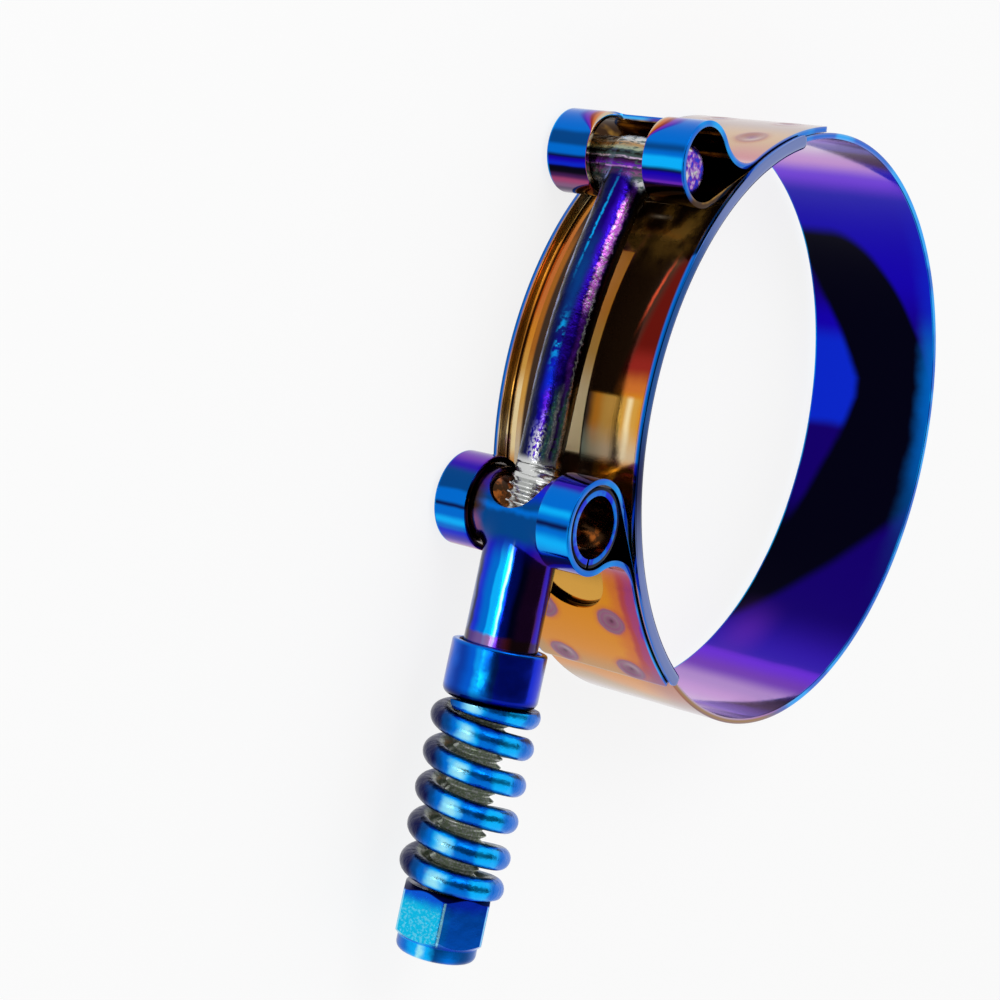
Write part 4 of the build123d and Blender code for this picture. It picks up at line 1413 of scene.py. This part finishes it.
def bridge_steel(across):
    """Mirror-bright channel: brown and red outside, gold at its lower end, violet inside the bore; the near
    black outside is partly a painted dark reflection of the bolt, and its gold and cream partly painted
    reflections and highlights.
    """
    shade = Shade("tinted_channel")
    bridge = sizes("bridge")
    along_share, across_share, skin = shade.blank()
    degree = along_share * (bridge.end - bridge.start) + bridge.start
    place = (across_share - 0.5) * (across / MM)
    turn = shade.wander(degree, 3 * MM, 1.5)
    side = shade.wander(place, 4 * MM, 0.6)

    # Outside: near black, partly a painted dark reflection of the bolt, with brown to gold glows that are
    # painted reflections and a painted highlight line by its upper end
    glow = shade.spread(shade.noise(2.6 * MM, 3.0, stretch=(1, 0.5, 1)), 0.40, 0.66)
    glow = glow * shade.spread(degree, 160, 148) * 0.7
    outer = shade.mix(glow, "brown", "gold")
    highlight_line = shade.hump(degree, 146, 0.9) * shade.hump(place, 1.8, 2.2)
    outer = shade.mix(highlight_line, outer, "straw")

    # Dark red beside the near edge, turning to orange, and a pale window by the lower end, a painted
    # reflection of the bright room in gold and cream
    red = shade.run_of(
        turn, (150, "soot"), (157, "maroon"), (171, "maroon"), (176, "red"), (180, "orange"), (182, "amber"),
    )
    in_red = place + degree * 0.105 - 24.1
    red_share = shade.spread(in_red, -0.7, 0.9) * shade.spread(degree, 150, 157)
    outer = shade.mix(red_share, outer, red)
    streak = shade.hump(shade.wander(in_red, 1.2 * MM, 0.4), -0.6, 0.35)
    outer = shade.mix(streak * shade.hump(degree, 162, 10), outer, "ember")
    window = shade.spread(degree, 181.0, 182.0) * shade.spread(degree, 194.5, 192.0)
    window = window * shade.spread(place, 1.2, 1.6)
    pane = shade.run_of(
        side,
        (1.5, "brown"), (2.8, "amber"), (4.2, "gold"), (5.4, "gold"), (6.5, "gold"), (7.2, "cream"),
        (7.9, "gold"), (9.3, "amber"),
    )
    low_pane = shade.spread(shade.wander(degree, 1.5 * MM, 2.0), 186.0, 192.0)
    pane = shade.mix(low_pane * 0.75, pane, shade.mix(shade.spread(side, 2.0, 5.0), "moss", "straw"))
    outer = shade.mix(window, outer, pane)

    # Gold sill beside the bolt, and the far side with its flange; the cream and bright gold bands in them are
    # painted highlights
    sill = shade.spread(place, 1.35, 1.15) * shade.spread(place, -3.0, -2.6)
    sill = sill * shade.spread(degree, 154.3, 155.0) * shade.spread(degree, 193.5, 192.5)
    sill_tint = shade.run_of(
        degree, (155, "amber"), (166, "amber"), (174, "gold"), (183, "cream"), (192, "cream"),
    )
    outer = shade.mix(sill, outer, sill_tint)
    mottle = shade.spread(shade.noise(3.2 * MM, 2.0, stretch=(1, 0.5, 1)), 0.40, 0.62)
    web = shade.run_of(
        turn, (130, "gold"), (148, "brown"), (158, "bronze"), (176, "bronze"), (184, "gold"), (196, "straw"),
    )
    web = shade.mix(shade.spread(place, -7.6, -7.2), web, "brown")
    ribbon = shade.run_of(
        turn,
        (130, "cream"), (144, "amber"), (156, "orange"), (167, "orange"), (173, "amber"), (179, "gold"),
        (185, "cream"), (194, "cream"), (198, "amber"),
    )
    web = shade.mix(shade.spread(abs(place + 8.55), 0.5, 0.35), web, ribbon)
    flank = shade.run_of(
        turn,
        (118, "amber"), (127, "gold"), (132, "cream"), (142, "cream"), (149, "gold"), (156, "amber"),
        (176, "amber"), (186, "gold"), (192, "cream"), (198, "amber"),
    )
    flank = shade.mix(mottle * 0.4, flank, "brown")
    web = shade.mix(shade.spread(place, -8.95, -9.05), web, "brown")
    web = shade.mix(shade.spread(place, -9.25, -9.4), web, flank)
    outer = shade.mix(shade.spread(place, -3.2, -3.6), outer, web)

    # Places that the bolt shades are duller, so that they still show their tint
    low_window = window * shade.spread(side, 6.4, 4.6)
    upper = shade.larger(glow, highlight_line) * shade.spread(degree, 160, 148) * shade.spread(place, -3.5, -2.5)
    ground = 0.3 - red_share * 0.26
    dull = shade.larger(sill, low_window, upper * 0.7, ground) * shade.spread(skin, 0.6, 0.4)

    # Inside the bore, and the turned-out flanges
    inner = shade.run_of(
        shade.wander(degree, 12 * MM, 12),
        (114, "blush"), (132, "orchid"), (160, "violet"), (190, "indigo"), (220, "violet"), (241, "orchid"),
    )
    reach = abs(place)
    half = across / MM / 2
    lip = shade.run_of(
        turn,
        (114, "lavender"), (142, "lavender"), (158, "ocean"), (182, "ocean"), (196, "navy"),
        (214, "lavender"), (241, "lavender"),
    )
    inner = shade.mix(shade.spread(reach, half - 2.3, half - 1.7), inner, lip)
    tint = shade.mix(shade.spread(skin, 0.4, 0.6), outer, inner)
    tint = shade.mix(shade.hump(skin, 0.5, 0.48), tint, "azure")
    corner = shade.hump(reach, half - 2.4, 0.5) * shade.spread(skin, 0.6, 0.8)
    tint = shade.mix(corner, tint, "azure")
    rough = shade.larger(shade.polish(0.05, 0.14, 3 * MM), dull * 0.4)
    return shade.finish(tint, rough, [
        (shade.noise(8 * MM, 1.0), 0.00010), (shade.noise(0.4 * MM, 3.0), 0.0000012),
    ], metal=1.0 - dull * 0.85)


def side_of(shade, x_middle, radius):
    """Place across a round piece on the bolt's line: -1 and 1 at its two sides, 0 in front."""
    # Colours laid along this place paint light and shade onto round pieces as the camera sees them: highlight
    # streaks, shaded sides and a sheen at their edges.
    right = Vector((0.589, 0.808)) / radius
    return (shade.x - x_middle) * right.x + shade.z * right.y


def bolt_steel(bar, x, bend_end, thread_from):
    """Forged steel, rough under the tint: blue and violet shank with painted highlights, a painted sheen at
    its edge and a painted shaded side, bare bar and thread.
    """
    bolt = sizes("bolt")
    shade = Shade("tinted_forging")
    over = shade.larger(shade.y - bend_end, 0.0)
    bend_run = bolt.shank_bend * sin(radians(bolt.shank_angle))
    curved = shade.smaller(over, bend_run)**2 * (0.5 / bolt.shank_bend)
    leaning = shade.larger(over - bend_run, 0.0) * tan(radians(bolt.shank_angle))
    middle = leaning + curved + x
    side = side_of(shade, middle, bolt.shank_diameter / 2)
    height = shade.y / MM
    rough_side = shade.wander(side, 0.5 * MM, 0.34)
    soft_side = shade.wander(side, 2 * MM, 0.3)
    # Across the shank: a painted sheen at its left edge, blue and violet tints, and a near black right side
    # painted as shade.
    shank = shade.run_of(
        soft_side,
        (-1.0, "lavender"), (-0.93, "ink"), (-0.8, "navy"), (-0.3, "midnight"), (0.0, "indigo"),
        (0.2, "midnight"), (0.45, "violet"), (0.62, "ink"), (1.0, "soot"),
    )
    sea = shade.hump(shade.wander(height, 2 * MM, 5.0), 11.0, 8.5) * shade.hump(soft_side, -0.4, 0.45)
    shank = shade.mix(sea * 0.75, shank, "ocean")
    lower = shade.hump(shade.wander(height, 2 * MM, 3.0), -1.0, 6.0) * shade.hump(soft_side, -0.32, 0.4)
    shank = shade.mix(lower, shank, "blue")
    middle_blue = shade.hump(height, 3.5, 6.0) * shade.hump(soft_side, 0.1, 0.2)
    shank = shade.mix(middle_blue, shank, "indigo")
    fine = shade.noise(0.3 * MM, 3.0, stretch=(1, 0.7, 1))
    speckle = shade.spread(fine, 0.5, 0.58)
    fine_side = shade.wander(side, 0.5 * MM, 0.1)
    # A painted highlight: a dotted cyan streak up the shank's left.
    streak = fine_side - height * 0.013 + 0.77
    streak = shade.hump(streak, 0.0, 0.08) * shade.hump(height, 18.0, 8.5)
    shank = shade.mix(streak * shade.spread(fine, 0.38, 0.5), shank, "cyan")
    # A painted highlight: a speckled cyan patch low on the left.
    cyan_highlight_patch = shade.hump(soft_side, -0.42, 0.24) * shade.hump(height, 4.0, 4.5)
    shank = shade.mix(cyan_highlight_patch * shade.spread(shade.noise(0.8 * MM, 3.0), 0.42, 0.56), shank, "cyan")
    # A painted highlight: a speckled pink streak on the right.
    pink = shade.hump(rough_side, 0.36, 0.25) * shade.spread(abs(height - 14.5), 8.0, 5.0)
    pink = shade.math("MULTIPLY", pink, 1.6, clamp=True)
    shank = shade.mix(pink, shank, shade.mix(shade.spread(fine, 0.46, 0.62), "fuchsia", "blush"))
    # A thin silver line down the shank's right side.
    right_pale_line = rough_side + height * 0.008 - 0.62
    right_pale_line = shade.hump(right_pale_line, 0.0, 0.07) * shade.spread(height, 11.0, 8.0)
    shank = shade.mix(right_pale_line * 0.8, shank, "silver")
    low = shade.spread(shade.wander(height, 1.5 * MM, 3.0), -1.0, -4.0)
    bare = shade.run_of(
        soft_side,
        (-1.0, "ink"), (-0.7, "navy"), (-0.5, "deep"), (-0.3, "purple"), (-0.08, "navy"), (0.1, "sage"),
        (0.26, "silver"), (0.38, "ink"), (0.55, "sage"), (0.7, "silver"), (0.82, "soot"), (1.0, "soot"),
    )
    shank = shade.mix(low * (speckle * 0.5 + 0.5), shank, bare)
    # Silver speckles low on the shank's left side.
    silver_speckle = shade.spread(shade.wander(height, 1.5 * MM, 4.0), -4.0, -9.0) * shade.hump(soft_side, -0.3, 0.45)
    shank = shade.mix(silver_speckle * shade.spread(fine, 0.42, 0.56), shank, "silver")
    thread = shade.spread(shade.y, thread_from + 1.2 * MM, thread_from + 0.2 * MM)
    shank = shade.mix(thread, shank, "silver")
    shaded = shade.spread(shade.y, -36 * MM, -38 * MM)
    shank = shade.mix(shaded, shank, shade.mix(speckle, "moss", "silver"))

    # Cross bar: bare and scaly in the middle, violet below, speckled at its ends
    out = shade.x - bar.x
    rise = shade.y - bar.y
    on_bar = shade.spread(shade.distance(out, rise), 4.1 * MM, 3.3 * MM)
    round_bar = shade.math("DEGREES", shade.math("ARCTAN2", rise, out))
    round_bar = shade.math("FLOORED_MODULO", round_bar, 360.0)
    round_bar = shade.wander(round_bar, 0.9 * MM, 5.0)
    band = shade.run_of(
        round_bar,
        (60, "silver"), (132, "silver"), (144, "tan"), (156, "moss"), (161, "teal"), (164, "soot"),
        (171, "teal"), (175, "blush"), (178, "soot"), (182, "plum"), (191, "violet"), (193, "orchid"),
        (196, "plum"), (206, "mauve"), (214, "teal"), (226, "silver"), (245, "ink"), (300, "ink"),
    )
    scale = shade.spread(shade.noise(0.35 * MM, 4.0, stretch=(1, 1, 0.35)), 0.5, 0.62)
    band = shade.mix(scale * 0.9, band, "teal")
    ends = shade.spread(abs(shade.z), 5.2 * MM, 6.6 * MM)
    patches = shade.ramp(
        shade.noise(1.1 * MM, 2.0),
        (0.3, "indigo"), (0.42, "blue"), (0.5, "violet"), (0.57, "lilac"), (0.66, "silver"),
    )
    band = shade.mix(ends, band, patches)
    tint = shade.mix(on_bar, shank, band)
    rough = shade.mix(on_bar, shade.polish(0.14, 0.3, 0.8 * MM), shade.polish(0.2, 0.42, 0.6 * MM))
    return shade.finish(tint, rough, [
        (shade.noise(0.9 * MM, 3.0), 0.00005), (shade.noise(0.28 * MM, 3.0), 0.00003),
    ], metal=1.0 - shaded * 0.6)


def trunnion_steel(x, y, barrel, half, end):
    """Blue rolled sheet with a painted highlight streak, plum on its shaded side as painted shade, the
    barrel's far end painted in shade, and brown inside.
    """
    size = sizes("trunnion")
    shade = Shade("tinted_rolled_sheet")
    side = shade.wander(side_of(shade, x, size.tube_diameter / 2), 4 * MM, 0.18)
    # Across the tube: a painted sheen at both edges, a cyan to glint streak as a painted highlight and plum
    # on the right as painted shade.
    tube = shade.run_of(
        side,
        (-1.0, "lavender"), (-0.93, "navy"), (-0.85, "blue"), (-0.64, "azure"), (-0.56, "azure"),
        (-0.50, "cyan"), (-0.30, "cyan"), (-0.24, "glint"), (-0.20, "azure"), (-0.14, "blue"),
        (-0.02, "blue"), (0.15, "navy"), (0.40, "plum"), (0.70, "plum"), (0.80, "indigo"), (0.92, "deep"),
        (1.0, "lavender"),
    )
    up = shade.y - y
    barrel_tint = shade.ramp(
        shade.wander(up, 2 * MM, 1.2 * MM) * (0.5 / barrel) + 0.5,
        (0.0, "deep"), (0.22, "ocean"), (0.42, "ocean"), (0.5, "azure"), (0.58, "ocean"), (0.75, "blue"),
        (0.9, "indigo"), (1.0, "plum"),
    )
    # The barrel's far end is painted in shade, plum and brown.
    far = shade.spread(shade.wander(shade.z, 2 * MM, 2 * MM), -2.6 * MM, -4.6 * MM)
    shaded_far_barrel = shade.ramp(
        up * (0.5 / barrel) + 0.5,
        (0.0, "plum"), (0.30, "mauve"), (0.45, "brown"), (0.6, "brown"), (0.8, "plum"), (1.0, "brown"),
    )
    barrel_tint = shade.mix(far, barrel_tint, shaded_far_barrel)
    tint = shade.mix(shade.spread(up, -3.0 * MM, -6.5 * MM), barrel_tint, tube)
    warm = shade.run_of(
        side,
        (-1.0, "brown"), (-0.6, "mauve"), (-0.35, "magenta"), (-0.15, "violet"), (0.05, "rose"),
        (0.3, "brown"), (1.0, "brown"),
    )
    foot = shade.spread(shade.wander(shade.y - end, 1.2 * MM, 0.7 * MM), 7.3 * MM, 6.8 * MM)
    tint = shade.mix(foot * 0.75, tint, warm)

    # Inner wall, brown to orange, and blue cut edges
    from_barrel = shade.distance(shade.x - x, up)
    from_tube = shade.distance(shade.x - x, shade.z)
    in_barrel = shade.spread(from_barrel, barrel - 0.15 * MM, barrel - 0.45 * MM)
    in_tube = shade.spread(from_tube, 4.2 * MM, 3.9 * MM) * shade.spread(up, 0.0, -0.4 * MM)
    within = shade.larger(in_barrel, in_tube)
    lining = shade.mix(shade.spread(shade.noise(1.6 * MM, 3.0), 0.46, 0.6), "brown", "orange")
    lining = shade.mix(0.45, lining, "brown")
    tint = shade.mix(within, tint, lining)
    face = shade.spread(abs(shade.z), half - 0.12 * MM, half - 0.04 * MM)
    rim = shade.mix(shade.spread(shade.noise(1.5 * MM, 2.0), 0.42, 0.6), "blue", "azure")
    rim = shade.mix(shade.spread(from_barrel, barrel - 0.46 * MM, barrel - 0.30 * MM), rim, "ink")
    tint = shade.mix(face, tint, rim)
    return shade.finish(tint, shade.polish(0.09, 0.2, 2 * MM), [
        (shade.noise(3.5 * MM, 1.0), 0.00006), (shade.noise(0.3 * MM, 3.0, stretch=(1, 0.4, 1)), 0.000002),
    ])


def cup_steel(x, top, radius):
    """Blue drawn cup, pale in front with painted highlights, its right side painted darker as shade, and navy
    round its floor as painted shade.
    """
    shade = Shade("tinted_cup")
    side = shade.wander(side_of(shade, x, radius), 3 * MM, 0.2)
    # Across the cup: a painted sheen at both edges, a cyan painted highlight left of the middle and a blue
    # right side painted as shade.
    tint = shade.run_of(
        side,
        (-1.0, "lavender"), (-0.93, "azure"), (-0.75, "ocean"), (-0.50, "azure"), (-0.38, "cyan"),
        (-0.14, "azure"), (-0.02, "ocean"), (0.06, "blue"), (0.30, "blue"), (0.55, "blue"), (0.90, "blue"),
        (1.0, "lavender"),
    )
    tint = shade.mix(0.35, tint, "blue")
    rise = shade.y - top
    # A speckled cyan patch, a painted highlight.
    highlight_patch = shade.hump(side, -0.27, 0.24) * shade.hump(rise, 2.9 * MM, 2.6 * MM)
    highlight_patch = highlight_patch * shade.spread(shade.noise(0.7 * MM, 4.0), 0.3, 0.6)
    tint = shade.mix(highlight_patch, tint, "cyan")
    # Navy round the floor is painted shade, and the azure line at the rim a painted highlight.
    tint = shade.mix(shade.spread(rise, 1.6 * MM, 0.2 * MM), tint, "navy")
    tint = shade.mix(shade.spread(rise, 6.1 * MM, 6.5 * MM) * 0.8, tint, "azure")
    return shade.finish(tint, shade.polish(0.14, 0.26, 2 * MM), [
        (shade.noise(3 * MM, 1.0), 0.00006), (shade.noise(0.25 * MM, 3.0, stretch=(1, 0.3, 1)), 0.000004),
    ])


def spring_steel(x):
    """Blue wire with painted highlights and painted shade, grey green on the coil's inner side."""
    size = sizes("spring")
    shade = Shade("tinted_wire")
    coil = (size.diameter - size.wire) / 2
    from_coil = shade.distance(shade.x - x, shade.z) - coil
    outward = shade.wander(from_coil, 1.2 * MM, 0.5 * MM)
    side = side_of(shade, x, size.diameter / 2)
    # Across the coil: navy at the left end painted as shade, and cyan bands as painted highlights.
    outer = shade.ramp(
        shade.wander(side * 0.5 + 0.5, 2 * MM, 0.12),
        (0.0, "navy"), (0.09, "navy"), (0.16, "ocean"), (0.23, "azure"), (0.30, "cyan"), (0.42, "cyan"),
        (0.50, "azure"), (0.64, "azure"), (0.72, "cyan"), (0.82, "cyan"), (0.90, "azure"), (1.0, "azure"),
    )
    # A painted glint on the crest of the wire.
    proud = shade.spread(from_coil, 0.9 * MM, 1.3 * MM)
    place = shade.wander(side, 1.5 * MM, 0.25)
    outer = shade.mix(shade.hump(place, -0.30, 0.24) * proud, outer, "glint")
    # Painted shade: navy on the wire's sides, where it faces the turns beside it.
    outer = shade.mix(shade.spread(outward, 0.7 * MM, 0.1 * MM) * 0.85, outer, "navy")
    streak = shade.spread(shade.noise(0.5 * MM, 4.0), 0.5, 0.66)
    inner = shade.mix(streak * 0.8, "moss", "silver")
    within = shade.spread(outward, -0.1 * MM, -0.8 * MM)
    tint = shade.mix(within, outer, inner)
    return shade.finish(tint, shade.polish(0.2, 0.36, 1.5 * MM), [
        (shade.noise(1.1 * MM, 3.0), 0.00012), (shade.noise(0.2 * MM, 3.0), 0.000004),
    ], metal=1.0 - within * 0.85)


def nut_steel(x, top):
    """Blue nut with finely grained flats and pale corners; the pale corners and speckled glints are painted
    highlights, and the lighter left face and darker right face painted light and shade.
    """
    size = sizes("nut")
    shade = Shade("tinted_nut")
    side = side_of(shade, x, 0.55 * size.across_flats)
    # Across the nut: a painted sheen at both edges and a cyan left side as painted light.
    tint = shade.run_of(
        shade.wander(side, 3 * MM, 0.1),
        (-1.0, "lavender"), (-0.94, "azure"), (-0.8, "cyan"), (-0.2, "cyan"), (-0.04, "azure"),
        (0.1, "azure"), (0.6, "azure"), (0.92, "azure"), (1.0, "lavender"),
    )
    depth = top - shade.y
    turn = shade.math("ARCTAN2", shade.x - x, shade.z) - radians(size.corner_angle)
    corner = shade.math("PINGPONG", turn, pi / 6)
    below = depth - shade.spread(corner, 0.5, 0.0) * (0.45 * MM) - 0.2 * MM
    above_collar = shade.spread(depth, size.hex_height + 0.1 * MM, size.hex_height - 0.3 * MM)
    on_flat = shade.spread(below, 0.0, 0.15 * MM) * above_collar
    left = shade.spread(side, 0.0, -0.12) * on_flat
    # Painted light and shade: the right side darker blue and the left flat aqua.
    tint = shade.mix(shade.spread(side, 0.05, 0.2) * 0.35, tint, "blue")
    tint = shade.mix(left, tint, "aqua")
    by_edge = shade.spread(shade.wander(depth, 1 * MM, 1 * MM), 2.4 * MM, 0.7 * MM)
    tint = shade.mix(by_edge * 0.85, tint, "blue")
    tint = shade.mix(shade.spread(below, 0.1 * MM, -0.05 * MM), tint, "navy")
    # A painted highlight along each corner.
    corner_highlight = shade.spread(shade.wander(corner, 0.8 * MM, 0.02), 0.035, 0.012) * on_flat
    tint = shade.mix(corner_highlight * 0.8, tint, "glint")
    fine = shade.noise(0.32 * MM, 2.0)
    # Painted glints speckled on the left flat.
    bright = left * shade.spread(depth, 1.4 * MM, 2.6 * MM) * shade.spread(fine, 0.48, 0.64)
    tint = shade.mix(bright * 0.3, tint, "glint")
    collar = shade.spread(depth, size.hex_height, size.hex_height + 0.3 * MM)
    # Round the collar: a cyan to glint painted highlight left of the middle.
    rim = shade.run_of(
        shade.wander(side, 1.2 * MM, 0.2),
        (-1.0, "ocean"), (-0.7, "azure"), (-0.45, "cyan"), (-0.34, "glint"), (-0.2, "cyan"),
        (-0.02, "ocean"), (0.3, "azure"), (0.6, "ocean"), (1.0, "azure"),
    )
    tint = shade.mix(collar, tint, rim)
    grain = fine * (left * 0.95 + 0.05)
    return shade.finish(tint, shade.polish(0.16, 0.3, 1.5 * MM), [
        (shade.noise(2.2 * MM, 1.0), 0.00004), (grain, 0.00009),
    ])


def insert_plastic():
    """Plain blue plastic."""
    shade = Shade("blue_plastic")
    tint = shade.mix(shade.noise(1.0 * MM), "blue", "azure")
    bumps = [(shade.noise(0.4 * MM), 0.00001)]
    return shade.finish(tint, shade.polish(0.35, 0.5, 1.0 * MM), bumps, metal=0.0)


class CLAMP_OT_stage(bpy.types.Operator):
    """Sets the floor, the lamps, the surroundings and the camera."""
    bl_idname = "clamp.stage"
    bl_label = "Stage"

    def execute(self, context):
        scene = context.scene
        stage = sizes("stage")
        low = min(v.co.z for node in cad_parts.values() for v in node.data.vertices)
        bolt_middle = Vector((bolt_line()[0], 0, 0))

        # Floor: white where seen directly or in the metal, and still under the clamp's shadow
        bm = bmesh.new()
        under = Matrix.Translation((0, 0, low))
        bmesh.ops.create_grid(bm, x_segments=1, y_segments=1, size=4.0, matrix=under)
        floor = finish_mesh(bm, "floor")
        material = bpy.data.materials.new("pale_floor")
        nodes = Nodes(material)
        matt = nodes.add("ShaderNodeBsdfPrincipled")
        nodes.fill(matt, {"Base Color": (*stage.floor, 1), "Roughness": 0.9, "Specular IOR Level": 0.0})
        glow = nodes.value("ShaderNodeEmission")
        share = nodes.seen() * stage.floor_glow
        blend = nodes.value("ShaderNodeMixShader", share, Value(nodes, matt.outputs[0]), glow)
        nodes.add("ShaderNodeOutputMaterial", blend)
        floor.data.materials.append(material)

        # Surroundings: white where seen directly or in the metal, softer as a light
        scene.world = bpy.data.worlds.new("studio")
        nodes = Nodes(scene.world)
        seen = nodes.seen("Is Transmission Ray")
        strength = nodes.value("ShaderNodeMapRange", seen, 0.0, 1.0, stage.room_level, 1.0)
        back = nodes.value("ShaderNodeBackground", (1, 1, 1, 1), strength)
        nodes.add("ShaderNodeOutputWorld", back)

        # A soft dark card over the camera's side, seen only in the metal
        toward = Vector((cos(radians(stage.card_angle)), 0, sin(radians(stage.card_angle))))
        spot = toward.to_track_quat("Z", "Y").to_matrix().to_4x4()
        spot = Matrix.Translation(bolt_middle + toward * stage.card_distance) @ spot
        spread = Matrix.Diagonal((stage.card_half, 3 * stage.card_half, 1, 1))
        bm = bmesh.new()
        bmesh.ops.create_grid(bm, x_segments=1, y_segments=1, size=1.0, matrix=spot @ spread)
        card = finish_mesh(bm, "dark_card")
        material = bpy.data.materials.new("soft_dark_card")
        nodes = Nodes(material)
        place = nodes.value("ShaderNodeTexCoord", output="Object")
        offset = nodes.value("ShaderNodeVectorMath", place, spot.translation, operation="SUBTRACT")
        across = spot.to_3x3() @ Vector((1 / stage.card_half, 0, 0))
        away = nodes.value("ShaderNodeVectorMath", offset, across, output="Value", operation="DOT_PRODUCT")
        level = nodes.spread(abs(away), stage.card_core, 1.0, stage.card_level, 1.0)
        nodes.add("ShaderNodeOutputMaterial", nodes.value("ShaderNodeEmission", None, level))
        card.data.materials.append(material)
        card.visible_camera = False
        card.visible_diffuse = False
        card.visible_shadow = False

        # Lamps
        for name, place, width, height, power in (
            ("key", (-0.25, 0.35, 0.45), 0.30, 0.30, stage.key_power),
            ("strip", (-0.55, -0.05, 0.02), 0.06, 0.5, stage.strip_power),
        ):
            data = bpy.data.lights.new(name, "AREA")
            data.shape = "RECTANGLE"
            data.size = width
            data.size_y = height
            data.energy = power
            lamp = bpy.data.objects.new(name, data)
            scene.collection.objects.link(lamp)
            aim = Vector((-0.01, 0, 0)) - Vector(place)
            lamp.matrix_world = Matrix.Translation(place) @ aim.to_track_quat("-Z", "Y").to_matrix().to_4x4()

        # Camera
        data = bpy.data.cameras.new("camera")
        data.lens = stage.lens
        data.sensor_width = 36
        data.clip_start = 0.01
        camera = bpy.data.objects.new("camera", data)
        scene.collection.objects.link(camera)
        back = Vector((-0.81154635, 0.02765451, 0.58363323))
        up = Vector((-0.09982142, 0.97763187, -0.18512592))
        right = up.cross(back)
        up = back.cross(right)
        turn = Matrix((right.normalized(), up.normalized(), back.normalized())).transposed().to_4x4()
        camera.matrix_world = Matrix.Translation((-0.236239, -0.008992, 0.135172)) @ turn
        scene.camera = camera
        scene.view_settings.view_transform = "Standard"
        return {"FINISHED"}


GROUPS = (
    ("band", ClampBandSizes),
    ("bridge", ClampBridgeSizes),
    ("bolt", ClampBoltSizes),
    ("trunnion", ClampTrunnionSizes),
    ("spring", ClampSpringSizes),
    ("nut", ClampNutSizes),
    ("tints", ClampTints),
    ("stage", ClampStage),
)
OPERATORS = (
    CLAMP_OT_band,
    CLAMP_OT_bridge,
    CLAMP_OT_bolt,
    CLAMP_OT_trunnion,
    CLAMP_OT_cup,
    CLAMP_OT_spring,
    CLAMP_OT_nut,
    CLAMP_OT_stage,
)


class CLAMP_PT_panel(bpy.types.Panel):
    """Lists the clamp's pieces."""
    bl_idname = "CLAMP_PT_panel"
    bl_label = "T-bolt clamp"
    bl_space_type = "VIEW_3D"
    bl_region_type = "UI"
    bl_category = "Clamp"

    def draw(self, context):
        for operator in OPERATORS:
            self.layout.operator(operator.bl_idname)
        for name, group in GROUPS:
            box = self.layout.box()
            for value in group.__annotations__:
                box.prop(sizes(name), value)


def register():
    for name, group in GROUPS:
        bpy.utils.register_class(group)
        setattr(bpy.types.Scene, "clamp_" + name, PointerProperty(type=group))
    for operator in OPERATORS:
        bpy.utils.register_class(operator)
    bpy.utils.register_class(CLAMP_PT_panel)


def unregister():
    bpy.utils.unregister_class(CLAMP_PT_panel)
    for operator in reversed(OPERATORS):
        bpy.utils.unregister_class(operator)
    for name, group in reversed(GROUPS):
        delattr(bpy.types.Scene, "clamp_" + name)
        bpy.utils.unregister_class(group)


def main():
    register()
    bpy.ops.clamp.band()
    bpy.ops.clamp.bridge()
    bpy.ops.clamp.bolt()
    bpy.ops.clamp.trunnion()
    bpy.ops.clamp.cup()
    bpy.ops.clamp.spring()
    bpy.ops.clamp.nut()
    bpy.ops.clamp.stage()


if __name__ == "__main__":
    main()
